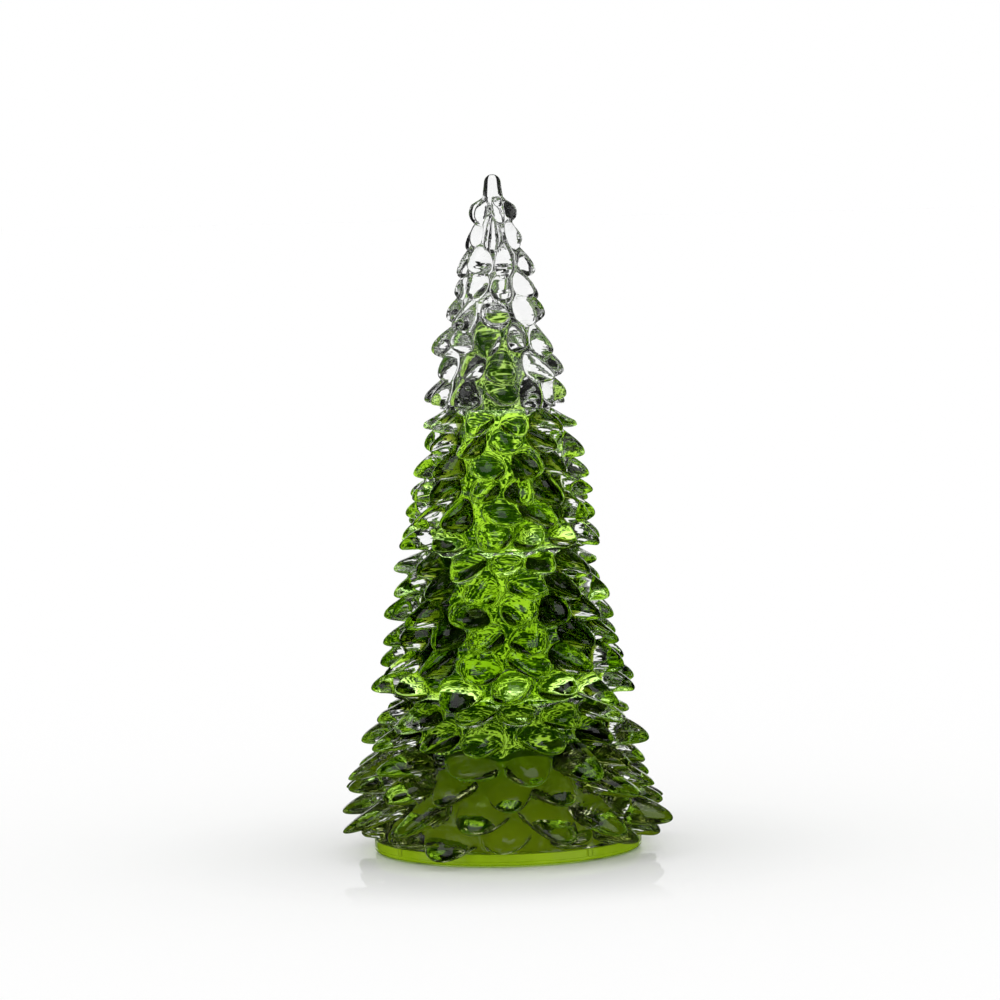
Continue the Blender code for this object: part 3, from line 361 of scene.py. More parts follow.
def branchTree():
    sizes = ["Spacing", "Height", "Top Z", "Foot Z", "Foot Radius", "Top Radius", "Foot Reach", "Top Reach",
             "Foot Count", "Top Count"]
    tree, start = newTree("drawBranches", [*sizes, *branch], Rings="Int", Branches="Object")

    def do(operation, *values):
        return calc(tree, operation, *values)

    def store(geometry, name, value):
        inputs = {"Geometry": geometry, "Name": name, "Value": value}
        kind = "GeometryNodeStoreNamedAttribute"
        return add(tree, kind, inputs, data_type="FLOAT", domain="POINT")["Geometry"]

    def clamp(value):
        return do("MINIMUM", do("MAXIMUM", value, 0.0), 1.0)

    x, y, z = add(tree, "ShaderNodeSeparateXYZ", {0: position(tree)})
    radius = do("SQRT", do("ADD", do("MULTIPLY", x, x), do("MULTIPLY", y, y)))
    row = do("DIVIDE", do("SUBTRACT", start["Top Z"], z), start["Spacing"])
    share = do("DIVIDE", do("SUBTRACT", start["Top Z"], z), start["Height"])

    def along(foot, top):
        return do("ADD", top, do("MULTIPLY", do("SUBTRACT", foot, top), share))

    valley = along(start["Foot Radius"], start["Top Radius"])
    onSkin = do("LESS_THAN", do("ABSOLUTE", do("SUBTRACT", radius, valley)), mergeDistance)
    aboveFoot = do("GREATER_THAN", do("SUBTRACT", z, start["Foot Z"]), fineness["footGap"] * mm)
    inside = do("MULTIPLY", do("GREATER_THAN", row, fineness["rowGap"]), aboveFoot)
    skin = do("MULTIPLY", onSkin, inside)
    angle = do("ARCTAN2", y, x)

    repeatIn = tree.nodes.new("GeometryNodeRepeatInput")
    repeatOut = tree.nodes.new("GeometryNodeRepeatOutput")
    repeatIn.pair_with_output(repeatOut)
    repeatOut.repeat_items.new("INT", "Step")
    tree.links.new(do("MULTIPLY", start["Rings"], 2), repeatIn.inputs["Iterations"])
    cleared = store(store(start["Geometry"], "branchHeight", 0.0), "branchFall", 0.0)
    tree.links.new(cleared, repeatIn.inputs["Geometry"])
    step = repeatIn.outputs["Step"]
    ring = do("FLOOR", do("DIVIDE", step, 2))
    ringShare = do("DIVIDE", ring, do("SUBTRACT", start["Rings"], 1))
    more = do("MULTIPLY", do("SUBTRACT", start["Foot Count"], start["Top Count"]), ringShare)
    count = do("ROUND", do("ADD", start["Top Count"], more))
    turn = do("DIVIDE", do("MULTIPLY", angle, count), 2 * math.pi)
    across = do("SUBTRACT", turn, do("MULTIPLY", do("MODULO", ring, 2), 0.5))
    centre = do("ADD", do("FLOOR", across), do("MODULO", step, 2))
    index = do("ADD", do("MULTIPLY", ring, start["Foot Count"]), do("FLOORED_MODULO", centre, count))
    table = add(tree, "GeometryNodeObjectInfo", {"Object": start["Branches"]})["Geometry"]

    def look(name):
        inputs = {"Geometry": table, "Value": named(tree, name), "Index": index}
        return add(tree, "GeometryNodeSampleIndex", inputs, data_type="FLOAT")[0]

    side = do("DIVIDE", do("SUBTRACT", do("SUBTRACT", across, centre), look("side")), start["width"])
    below = do("SUBTRACT", do("SUBTRACT", do("SUBTRACT", row, ring), start["ringStart"]), look("down"))
    isAbove = do("LESS_THAN", below, 0.0)
    isBelow = do("SUBTRACT", 1.0, isAbove)
    half = do("ADD", do("MULTIPLY", isAbove, start["rise"]), do("MULTIPLY", isBelow, start["fall"]))
    down = do("DIVIDE", below, half)
    away = do("SQRT", do("ADD", do("MULTIPLY", side, side), do("MULTIPLY", down, down)))
    drawn = do("POWER", clamp(do("SUBTRACT", 1.0, do("POWER", away, start["round"]))), start["flare"])
    drawn = do("MULTIPLY", drawn, look("length"))
    tallest, lowest = named(tree, "branchHeight"), named(tree, "branchFall")
    change = do("MULTIPLY", do("GREATER_THAN", drawn, tallest), do("SUBTRACT", look("droop"), lowest))
    stored = store(repeatIn.outputs["Geometry"], "branchFall", do("ADD", lowest, change))
    stored = store(stored, "branchHeight", do("MAXIMUM", tallest, drawn))
    tree.links.new(stored, repeatOut.inputs["Geometry"])
    tree.links.new(do("ADD", step, 1.0), repeatOut.inputs["Step"])

    depth = do("DIVIDE", start["Height"], start["Spacing"])
    fade = clamp(do("DIVIDE", do("MINIMUM", row, do("SUBTRACT", depth, row)), start["edgeFade"]))
    height = do("MULTIPLY", tallest, fade)
    reach = do("MULTIPLY", along(start["Foot Reach"], start["Top Reach"]), height)

    def wave(waves, twist):
        return do("SINE", do("ADD", do("MULTIPLY", angle, start[waves]), do("MULTIPLY", row, start[twist])))

    turnWave, ringWave = wave("turnWaves", "turnTwist"), wave("ringWaves", "ringTwist")
    wander = do("DIVIDE", do("MULTIPLY", start["turnWander"], 2 * math.pi), start["Foot Count"])
    newAngle = do("ADD", angle, do("MULTIPLY", do("MULTIPLY", fade, wander), turnWave))
    newRow = do("ADD", row, do("MULTIPLY", do("MULTIPLY", fade, start["ringWander"]), ringWave))
    out = do("ADD", valley, reach)
    fall = do("ADD", do("MULTIPLY", newRow, start["Spacing"]), do("MULTIPLY", reach, lowest))
    ends = {"X": do("MULTIPLY", out, do("COSINE", newAngle)), "Y": do("MULTIPLY", out, do("SINE", newAngle)),
            "Z": do("SUBTRACT", start["Top Z"], fall)}
    inputs = {"Geometry": repeatOut.outputs["Geometry"], "Selection": skin,
              "Position": add(tree, "ShaderNodeCombineXYZ", ends)[0]}
    return endTree(tree, add(tree, "GeometryNodeSetPosition", inputs)[0], start["Material"])


def branchTable(name, size):
    chance = np.random.RandomState(size["seed"]).uniform(-1, 1, (4, size["rings"], size["footCount"]))
    columns = {"length": 1 + scatter["length"] * chance[0], "side": scatter["side"] * chance[1],
               "down": scatter["down"] * chance[2], "droop": size["droop"] + scatter["droop"] * chance[3]}
    columns["length"][-1] *= size["hem"]
    mesh = bpy.data.meshes.new(name)
    mesh.from_pydata([(i * mm, 0, 0) for i in range(chance[0].size)], [], [])
    for column, values in columns.items():
        attribute = mesh.attributes.new(column, "FLOAT", "POINT")
        attribute.data.foreach_set("value", values.ravel().astype(np.float32))
    return newObject(name, mesh)


def coneRadius(size, z, foot, top):
    ceiling = size["footZ"] + size["height"] - shell["roof"]
    share = min(max((z - size["footZ"]) / (ceiling - size["footZ"]), 0), 1)
    return size[foot] + (size[top] - size[foot]) * share


def skinProfile(size):
    spacing = size["height"] / (size["rings"] - 1 + branch["ringStart"] + branch["ringEnd"])
    depth = size["height"] / spacing
    steps = round(depth * fineness["rows"])
    profile = []
    for i in range(steps + 1):
        row = depth * i / steps
        phase = 2 * math.pi * (row - branch["ringStart"])
        near = min(1, row / fineness["easeRows"], (depth - row) / fineness["easeRows"])
        row -= near * fineness["gather"] * math.sin(phase) / (2 * math.pi)
        share = row * spacing / size["height"]
        radius = size["topRadius"] + (size["footRadius"] - size["topRadius"]) * share
        profile.append((radius, size["footZ"] + size["height"] - row * spacing))
    return profile, spacing


def dome(radius, rise, top, steps=12):
    curve = arc(0, top - rise, radius, rise, 90, 0, steps)
    curve[0] = (0, top)
    return curve


drawBranches = branchTree()


def makeTier(name, above):
    size = tierSizes[name]
    skin, spacing = skinProfile(size)
    top = size["footZ"] + size["height"]
    if above:
        upper = tierSizes[above]
        ceiling = top - shell["roof"]
        core = coneRadius(upper, upper["footZ"] + shell["spigotHeight"], "coreFoot", "coreTop")
        spigot = core - 2 * shell["gap"]
        opening = spigot - shell["spigotWidth"]
        lip = top + shell["spigotHeight"]
        profile = skin + [(size["innerFoot"], size["footZ"]), (size["innerTop"], ceiling), (opening, ceiling),
                          (opening, lip), (spigot, lip), (spigot, top)]
    else:
        tip = top + shell["finger"]
        finger = arc(0, tip - shell["fingerTip"], shell["fingerTip"], shell["fingerTip"], 90, 0, 12)
        finger[0] = (0, tip)
        rise = shell["domeRadius"] * shell["domeShare"] + shell["gap"]
        hollow = dome(shell["domeRadius"] + shell["gap"], rise, shell["domeTop"] + shell["gap"])
        profile = finger + skin + [(size["innerFoot"], size["footZ"])] + hollow[::-1]
    obj = turned(name + "Tier", profile, fineness["columns"], clear)
    table = branchTable(name + "Branches", size)
    values = {"Spacing": spacing * mm, "Height": size["height"] * mm, "Top Z": top * mm,
              "Foot Z": size["footZ"] * mm,
              "Foot Radius": size["footRadius"] * mm, "Top Radius": size["topRadius"] * mm,
              "Foot Reach": size["footReach"] * mm, "Top Reach": size["topReach"] * mm,
              "Foot Count": float(size["footCount"]), "Top Count": float(size["topCount"]),
              "Rings": size["rings"], "Branches": table, "Material": clear}
    values.update({key: float(value) for key, value in branch.items()})
    withNodes(obj, "branches", drawBranches, values)
    bpy.data.objects.remove(table)
    if above:
        setTouching(obj, size, 0, clear)
    for attribute in [a.name for a in obj.data.attributes if a.name.startswith("branch")]:
        obj.data.attributes.remove(obj.data.attributes[attribute])
    place(obj, "tree", [name + "_tier"], 50)


for tierName, tierAbove in (("bottom", "middle"), ("middle", "upper"), ("upper", "top"), ("top", None)):
    makeTier(tierName, tierAbove)

# Liners, all but the bottom one hammered on their inner faces

hammer = {"depth": 0.30, "cell": 2.2, "smoothness": 0.35, "sides": 330, "step": 0.5}


def fillProfile(points, step):
    filled = []
    for (r0, z0), (r1, z1) in zip(points, points[1:]):
        count = max(1, round(math.hypot(r1 - r0, z1 - z0) / step))
        filled += [(r0 + (r1 - r0) * i / count, z0 + (z1 - z0) * i / count) for i in range(count)]
    return filled + [points[-1]]


def hammerTree():
    tree, start = newTree("hammerSurface", ["Depth", "Cell"])
    normal = add(tree, "GeometryNodeInputNormal")[0]
    inputs = {"Vector": position(tree), "Scale": calc(tree, "DIVIDE", 1.0, start["Cell"]),
              "Smoothness": hammer["smoothness"]}
    distance = add(tree, "ShaderNodeTexVoronoi", inputs, feature="SMOOTH_F1")["Distance"]
    depth = calc(tree, "MULTIPLY", calc(tree, "SUBTRACT", distance, 1.0), start["Depth"])
    kind = "ShaderNodeVectorMath"
    move = add(tree, kind, {0: normal, "Scale": depth}, operation="SCALE")[0]
    outward = add(tree, kind, {0: position(tree), 1: (1, 1, 0)}, operation="MULTIPLY")[0]
    facing = add(tree, kind, {0: outward, 1: normal}, operation="DOT_PRODUCT")["Value"]
    inputs = {"Geometry": start["Geometry"], "Offset": move,
              "Selection": calc(tree, "LESS_THAN", facing, 0.0)}
    return endTree(tree, add(tree, "GeometryNodeSetPosition", inputs)[0], start["Material"])


hammerSurface = hammerTree()


def makeLiner(name):
    size = tierSizes[name]
    wall = shell["linerWall"]
    if name == "top":
        rise = shell["domeRadius"] * shell["domeShare"]
        foot = size["innerFoot"] - shell["gap"]
        inner = dome(shell["domeRadius"] - wall, rise - wall, shell["domeTop"] - wall)
        outer = dome(shell["domeRadius"], rise, shell["domeTop"])
        profile = outer[:-1] + fillProfile([outer[-1], (foot, size["footZ"])], hammer["step"])
        profile += fillProfile([(size["coreFoot"], size["footZ"]), inner[-1]], hammer["step"])[:-1]
        profile += inner[::-1]
    else:
        top = size["footZ"] + size["height"] - shell["roof"] - shell["gap"]
        low = shell["linerLow"] if name == "bottom" else size["footZ"]
        heights = [top, size["footZ"], low] if low < size["footZ"] else [top, low]
        outer = [(coneRadius(size, z, "innerFoot", "innerTop") + shell["contact"], z) for z in heights]
        inner = [(coneRadius(size, z, "coreFoot", "coreTop"), z) for z in heights[::-1]]
        profile = fillProfile(outer, hammer["step"]) + fillProfile(inner, hammer["step"])
    obj = asMesh(turned(name + "Liner", profile, hammer["sides"], greens[name]))
    if name != "bottom":
        values = {"Depth": hammer["depth"] * mm, "Cell": hammer["cell"] * mm, "Material": greens[name]}
        withNodes(obj, "hammer", hammerSurface, values)
    if name != "top":
        setTouching(obj, size, shell["contact"], greens[name])
    low, deep = 0.0, greens[name]
    if name == "bottom":
        low, deep = linerLook["deepAbove"], greens["bottomTop"]
        centres, _, index = faceTable(obj.data)
        paintFaces(obj, centres[:, 2] > low, index, deep)
        setTouching(obj, size, shell["contact"], deep, low)
    setPaintedGlowFlecks(obj, low, deep, linerLook["paintedGlow"][name])
    place(obj, "tree", [name + "_liner"], 50)


for tierName in tierSizes:
    makeLiner(tierName)

# Finishes of the base and of what it holds

clouds = (0.3, 0.7)  # where a noise's values lie
brush = {"lines": 900.0, "relief": 0.01, "strength": 0.5}


def mottled(name, colors, scale, roughness, relief=0.0, **more):
    made, tree, shader = newMaterial(name, **more)
    point = objectPoint(tree)
    cloud = texture(tree, "ShaderNodeTexNoise", scale, point, Detail=3.0)
    tree.links.new(colorRamp(tree, cloud, {0.35: colors[0], 0.65: colors[1]}), shader.inputs["Base Color"])
    tree.links.new(mapRange(tree, cloud, *clouds, *roughness), shader.inputs["Roughness"])
    if relief:
        bump(tree, shader, cloud, relief)
    return made


def brushed(name, color, stretch, roughness):
    made, tree, shader = newMaterial(name, **{"Base Color": (*color, 1), "Metallic": 1.0})
    lines = texture(tree, "ShaderNodeTexNoise", brush["lines"], objectPoint(tree, stretch), Detail=2.0)
    tree.links.new(mapRange(tree, lines, *clouds, *roughness), shader.inputs["Roughness"])
    bump(tree, shader, lines, brush["relief"] * mm, brush["strength"])
    return made


finishes = {
    "base_green": mottled("baseGreen", [(0.36, 0.58, 0.008), (0.44, 0.67, 0.016)], 40.0, (0.07, 0.16),
                          **{"Transmission Weight": 0.15, "IOR": 1.49, "Coat Weight": 0.5,
                             "Coat Roughness": 0.05}),
    "housing_plastic": mottled("housingPlastic", [(0.68, 0.86, 0.012), (0.76, 0.94, 0.02)], 30.0, (0.35, 0.5),
                               0.02 * mm),
    "cell_jacket": mottled("cellJacket", [(0.02, 0.16, 0.05), (0.03, 0.20, 0.07)], 60.0, (0.22, 0.3)),
    "steel": brushed("steelBrushed", (0.66, 0.66, 0.65), (1, 1, 8), (0.22, 0.38)),
    "rubber": mottled("rubberFoot", [(0.018, 0.018, 0.018), (0.03, 0.03, 0.03)], 900.0, (0.65, 0.8),
                      0.03 * mm),
    "board": mottled("boardMask", [(0.74, 0.76, 0.73), (0.80, 0.82, 0.79)], 200.0, (0.3, 0.4)),
    "led": mottled("ledEpoxy", [(0.85, 0.95, 0.75), (0.92, 1.0, 0.85)], 300.0, (0.03, 0.06),
                   **{"Transmission Weight": 0.7, "IOR": 1.5}),
    "lead_red": mottled("leadRed", [(0.45, 0.012, 0.012), (0.55, 0.02, 0.02)], 400.0, (0.35, 0.45)),
    "lead_white": mottled("leadWhite", [(0.72, 0.72, 0.70), (0.78, 0.78, 0.76)], 400.0, (0.35, 0.45)),
    "black_plastic": mottled("blackPlastic", [(0.012, 0.012, 0.012), (0.02, 0.02, 0.02)], 800.0, (0.4, 0.55),
                             0.02 * mm),
    "slider": mottled("sliderPlastic", [(0.70, 0.70, 0.68), (0.76, 0.76, 0.74)], 500.0, (0.35, 0.5),
                      0.01 * mm),
}
slots = {s["node"]: s["material_slot"] for s in frame["record"]["subparts"]}
for name, obj in nodes.items():
    if slots[name] in finishes:
        obj.data.materials.clear()
        obj.data.materials.append(finishes[slots[name]])


def block(name, low, high, material=None):
    shape = bmesh.new()
    bmesh.ops.create_cube(shape, size=1.0)
    low, high = Vector(low) * mm, Vector(high) * mm
    bmesh.ops.scale(shape, vec=high - low, verts=shape.verts)
    bmesh.ops.translate(shape, vec=(low + high) / 2, verts=shape.verts)
    mesh = bpy.data.meshes.new(name)
    shape.to_mesh(mesh)
    shape.free()
    if material:
        mesh.materials.append(material)
    return newObject(name, mesh)


def rod(name, x, y, radius, low, high, sides=48):
    obj = asMesh(turned(name, [(0, high), (radius, high), (radius, low), (0, low)], sides, None))
    obj.data.transform(Matrix.Translation((x * mm, y * mm, 0)))
    return obj


def rodAt(node, *sizes):
    x, y, _ = middle(node)
    return rod("tool", x, y, *sizes)


def carve(obj, tools, operation="DIFFERENCE"):
    for tool in tools:
        step = obj.modifiers.new(tool.name, "BOOLEAN")
        step.operation = operation
        step.solver = "EXACT"
        step.object = tool
    asMesh(obj)
    for tool in tools:
        bpy.data.objects.remove(tool)
    return obj


def rounded(obj, width, segments=3):
    bevel = obj.modifiers.new("rounded", "BEVEL")
    bevel.width = width * mm
    bevel.segments = segments
    bevel.limit_method = "ANGLE"
    bevel.angle_limit = math.radians(40)
    return obj


# Base: a floor with a rim, joined to the lowest tier by four small catches

base = {"radius": 63.5, "under": 0.8, "rimTop": 6.2, "rimInner": 60.5, "floorTop": 4.0, "edge": 1.2,
        "sides": 240, "grooveZ": 2.7, "groove": 0.22, "catchAngle": -53.2, "catch": 1.0, "catchFloor": 2.9,
        "seamAngle": -107.7, "seam": 0.15, "doorTop": 2.9, "bayX": 24.8, "bayY": 15.8, "shank": 1.4,
        "head": 2.5, "headDepth": 1.5, "boss": 3.1, "bossHeight": 9.5, "bossFoot": 0.8, "bossRoof": 1.7,
        "slotX": 3.1, "slotY": 1.4, "pocket": 6.3, "pocketTop": 2.3, "gap": 0.3}
floorScrews = numbered("box_screw", 4) + numbered("cover_screw", 3)
doorScrews = numbered("door_screw", 2)
feet = numbered("foot", 4)
over = 1  # how far cuts and heads reach past a face, in millimetres


def makeBase():
    radius, z, groove, top = base["radius"], base["grooveZ"], base["groove"], base["floorTop"]
    edge = arc(radius - base["edge"], base["under"] + base["edge"], base["edge"], base["edge"], 0, -90, 6)
    profile = [(0, top), (base["rimInner"], top), (base["rimInner"], base["rimTop"]),
               (radius - groove, base["rimTop"]), (radius, base["rimTop"] - groove), (radius, z + groove),
               (radius - groove, z), (radius, z - groove)] + edge + [(0, base["under"])]
    obj = asMesh(turned("basePlate", profile, base["sides"], finishes["base_green"]))
    bossTop = top + base["bossHeight"]
    carve(obj, [rodAt(name, base["boss"], top - base["bossFoot"], bossTop) for name in doorScrews], "UNION")
    low, high = boxOf("battery_door")
    tools = [block("recess", (low[0] - base["gap"], low[1] - base["gap"], 0),
                   (high[0] + base["gap"], high[1] + base["gap"], base["doorTop"])),
             block("bay", (-base["bayX"], -base["bayY"], 0), (base["bayX"], base["bayY"], top + over))]
    tools += [rodAt(name, base["shank"], 0, bossTop - base["bossRoof"]) for name in doorScrews]
    for name in floorScrews:
        tools.append(rodAt(name, base["head"], 0, base["under"] + base["headDepth"]))
        tools.append(rodAt(name, base["shank"], 0, top + over))
    tools += [rodAt(name, base["pocket"], 0, base["pocketTop"]) for name in feet]
    y = middle("switch_slider")[1]
    tools.append(block("slot", (-base["slotX"], y - base["slotY"], 0),
                       (base["slotX"], y + base["slotY"], top + over)))

    def notch(kind, angle, low, sides):
        away = radius + base[kind] / 4
        x, y = away * math.cos(math.radians(angle)), away * math.sin(math.radians(angle))
        return rod(kind, x, y, base[kind], low, base["rimTop"] + over, sides)

    tools += [notch("catch", base["catchAngle"] + 90 * i, base["catchFloor"], 16) for i in range(4)]
    tools += [notch("seam", base["seamAngle"] + 180 * i, 0, 8) for i in range(2)]
    carve(obj, tools)
    place(obj, "tree", ["base_plate"], 30)


makeBase()

door = {"headDepth": 1.2, "head": 2.5, "shank": 1.4, "grooves": 4, "pad": 12.0, "grooveDepth": 0.5,
        "grooveEdge": 0.2, "round": 0.25}


def makeDoor():
    low, high = boxOf("battery_door")
    obj = asMesh(rounded(block("batteryDoor", low, high, finishes["base_green"]), door["round"]))
    tools = []
    for name in doorScrews:
        tools.append(rodAt(name, door["head"], 0, low[2] + door["headDepth"]))
        tools.append(rodAt(name, door["shank"], 0, high[2] + over))
    pitch = door["pad"] / door["grooves"]
    for i in range(door["grooves"]):
        x = (i - (door["grooves"] - 1) / 2) * pitch
        groove = block("groove", (x - pitch / 4, low[1] / 2, 0),
                       (x + pitch / 4, high[1] / 2, low[2] + door["grooveDepth"]))
        tools.append(rounded(groove, door["grooveEdge"]))
    carve(obj, tools)
    place(obj, "battery_door", ["battery_door"], 30)


makeDoor()

cover = {"foot": 52.2, "top": 29.0, "low": 4.3, "high": 46.7, "wall": 2.0, "edge": 5.0, "hole": 4.5,
         "boss": 3.1, "bossHeight": 9.5, "bossRoof": 0.9, "boardBoss": 6.0, "shank": 1.4, "sides": 160}
coverScrews = numbered("cover_screw", 3)
boardScrews = numbered("board_screw", 2)


def makeCover():
    wall, edge, low, high = cover["wall"], cover["edge"], cover["low"], cover["high"]
    profile = arc(cover["top"] - edge, high - edge, edge, edge, 90, 0, 8)
    profile += [(cover["foot"], low), (cover["foot"] - wall, low)]
    profile += arc(cover["top"] - edge, high - edge, edge - wall, edge - wall, 0, 90, 6)
    profile += [(cover["hole"], high - wall), (cover["hole"], high)]
    obj = asMesh(turned("housingCover", profile, cover["sides"], finishes["housing_plastic"]))
    boss, shank, bossTop = cover["boss"], cover["shank"], low + cover["bossHeight"]
    bosses = [rodAt(name, boss, low, bossTop) for name in coverScrews]
    bosses += [rodAt(name, boss, high - wall - cover["boardBoss"], high - wall / 2) for name in boardScrews]
    carve(obj, bosses, "UNION")
    holes = [rodAt(name, shank, 0, bossTop - cover["bossRoof"]) for name in coverScrews]
    holes += [rodAt(name, shank, high - cover["boardBoss"], high + over) for name in boardScrews]
    carve(obj, holes)
    place(obj, "tree", ["housing_cover"], 30)


makeCover()

# What repeats inside and under the base is set out by Geometry Nodes

def copiesTree():
    tree, start = newTree("setCopies", [], Shape="Object")
    angle = calc(tree, "MULTIPLY", named(tree, "turns"), math.pi / 2)
    inputs = {"Points": start["Geometry"], "Rotation": add(tree, "ShaderNodeCombineXYZ", {"Y": angle})[0],
              "Instance": add(tree, "GeometryNodeObjectInfo", {"Object": start["Shape"]})["Geometry"]}
    return endTree(tree, add(tree, "GeometryNodeInstanceOnPoints", inputs)[0], start["Material"])


setCopies = copiesTree()


def copies(name, shape, places, body, replaced, slotName):
    # places: x, y, z in millimetres and a number of quarter turns about Y
    mesh = bpy.data.meshes.new(name)
    mesh.from_pydata([(x * mm, y * mm, z * mm) for x, y, z, _ in places], [], [])
    mesh.attributes.new("turns", "FLOAT", "POINT").data.foreach_set("value", [float(p[3]) for p in places])
    values = {"Shape": shape, "Material": finishes[slotName]}
    obj = withNodes(newObject(name, mesh), "copies", setCopies, values)
    bpy.data.objects.remove(shape)
    place(obj, body, replaced)


def lowPlaces(names):
    return [(*middle(name)[:2], boxOf(name)[0][2], 0) for name in names]


screwLook = {"head": 2.2, "headHeight": 0.9, "round": 0.3, "shank": 1.1, "root": 0.85, "pitch": 0.8,
             "tip": 0.8, "point": 0.3, "cross": 2.6, "crossWidth": 0.6, "crossDepth": 0.45, "sides": 32}


def screwShape(name, height):
    look = screwLook
    profile = [(0, height), (look["point"], height)]
    z = height - look["tip"]
    while z > look["headHeight"] + look["pitch"]:
        profile += [(look["root"], z), (look["shank"], z - look["pitch"] / 2)]
        z -= look["pitch"]
    rounding = arc(look["head"] - look["round"], look["round"], look["round"], look["round"], 0, -90, 4)
    profile += [(look["shank"], look["headHeight"]), (look["head"], look["headHeight"])] + rounding + [(0, 0)]
    obj = asMesh(turned(name, profile, look["sides"], finishes["steel"]))
    long, wide, deep = look["cross"] / 2, look["crossWidth"] / 2, look["crossDepth"]
    return carve(obj, [block("crossX", (-long, -wide, -over), (long, wide, deep)),
                       block("crossY", (-wide, -long, -over), (wide, long, deep))])


def makeScrews():
    fromAbove = [(*middle(name)[:2], boxOf(name)[1][2], 2) for name in boardScrews]
    for kind, body, names, places in (("tree", "tree", floorScrews, lowPlaces(floorScrews)),
                                      ("door", "battery_door", doorScrews, lowPlaces(doorScrews)),
                                      ("board", "tree", boardScrews, fromAbove)):
        low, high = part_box(names[0])
        shape = screwShape(kind + "Screw", (high[2] - low[2]) / mm)
        copies(kind + "Screws", shape, places, body, names, "steel")


makeScrews()

footPad = {"radius": 6.0, "height": 2.0, "round": 0.6, "grooveIn": 3.0, "grooveOut": 3.8, "grooveDepth": 0.3,
           "sides": 64}


def makeFeet():
    radius, rounding = footPad["radius"], footPad["round"]
    edge = arc(radius - rounding, rounding, rounding, rounding, 0, -90, 5)
    wide, narrow, deep = footPad["grooveOut"], footPad["grooveIn"], footPad["grooveDepth"]
    groove = [(wide, 0), (wide, deep), (narrow, deep), (narrow, 0)]
    profile = [(0, footPad["height"]), (radius, footPad["height"])] + edge + groove + [(0, 0)]
    shape = asMesh(turned("foot", profile, footPad["sides"], finishes["rubber"]))
    copies("feet", shape, lowPlaces(feet), "tree", feet, "rubber")


makeFeet()

lamp = {"radius": 2.5, "flange": 2.9, "flangeHeight": 1.0, "height": 8.6, "sides": 48, "board": 18.0,
        "boardEdge": 0.15, "boardSides": 120, "hole": 1.4, "holeLow": 40, "holeHigh": 60}


def makeLamps():
    top, radius = lamp["height"], lamp["radius"]
    flange, flangeTop = lamp["flange"], lamp["flangeHeight"]
    profile = dome(radius, radius, top, 10) + [(radius, flangeTop), (flange, flangeTop), (flange, 0), (0, 0)]
    shape = asMesh(turned("lamp", profile, lamp["sides"], finishes["led"]))
    names = numbered("led", 3)
    copies("lamps", shape, lowPlaces(names), "tree", names, "led")
    low, high = boxOf("led_board")
    board = rod("lampBoard", 0, 0, lamp["board"], low[2], high[2], lamp["boardSides"])
    board.data.materials.clear()
    board.data.materials.append(finishes["board"])
    asMesh(rounded(board, lamp["boardEdge"], 2))
    carve(board, [rodAt(name, lamp["hole"], lamp["holeLow"], lamp["holeHigh"], 24) for name in boardScrews])
    place(board, "tree", ["led_board"], 30)


makeLamps()

spring = {"wire": 0.3, "wide": 3.4, "narrow": 1.8, "turns": 3, "steps": 32, "sides": 10}


def coilTree():
    tree, start = newTree("coilSpring", ["Turns", "Wide", "Narrow", "Length", "Wire"])
    inputs = {"Resolution": spring["steps"], "Rotations": start["Turns"], "Start Radius": start["Wide"],
              "End Radius": start["Narrow"], "Height": start["Length"]}
    spiral = add(tree, "GeometryNodeCurveSpiral", inputs)[0]
    inputs = {"Resolution": spring["sides"], "Radius": start["Wire"]}
    circle = add(tree, "GeometryNodeCurvePrimitiveCircle", inputs)[0]
    inputs = {"Curve": spiral, "Profile Curve": circle, "Fill Caps": True}
    return endTree(tree, add(tree, "GeometryNodeCurveToMesh", inputs)[0], start["Material"])


cell = {"radius": 5.25, "length": 44.5, "nub": 1.9, "nubLength": 1.2, "nubRound": 0.3, "edge": 0.4,
        "rim": 4.5, "lip": 0.2, "band": 7.0, "sides": 64}
cellNames = numbered("cell", 3)


def makeCells():
    silver = finishes["steel"]
    band = mottled("cellBand", [(0.52, 0.44, 0.26), (0.58, 0.50, 0.30)], 60.0, (0.22, 0.3), Metallic=0.6)
    length, radius, edge, lip, rim = (cell[key] for key in ("length", "radius", "edge", "lip", "rim"))
    nub, rounding, body = cell["nub"], cell["nubRound"], length - cell["nubLength"]
    profile = [(0, length)] + arc(nub - rounding, length - rounding, rounding, rounding, 90, 0, 4)
    profile += [(nub, body - lip), (rim, body - lip), (rim, body)]
    profile += arc(radius - edge, body - edge, edge, edge, 90, 0, 4) + [(radius, body - cell["band"])]
    profile += arc(radius - edge, edge, edge, edge, 0, -90, 4) + [(rim, 0), (rim, lip), (0, lip)]
    for name in cellNames:
        obj = asMesh(turned(name + "Body", profile, cell["sides"], finishes["cell_jacket"]))
        centres, _, index = faceTable(obj.data)
        away = np.hypot(centres[:, 0], centres[:, 1])
        paintFaces(obj, away < rim, index, silver)
        paintFaces(obj, (away > rim) & (centres[:, 2] > body - cell["band"]), index, band)
        low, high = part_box(name)
        way = 1 if high[0] > -low[0] else -1
        _, y, z = middle(name)
        seat = Matrix.Translation(Vector(((low[0] if way > 0 else high[0]) / mm, y, z)) * mm)
        obj.data.transform(seat @ Matrix.Rotation(way * math.pi / 2, 4, "Y"))
        place(obj, "tree", [name])


makeCells()


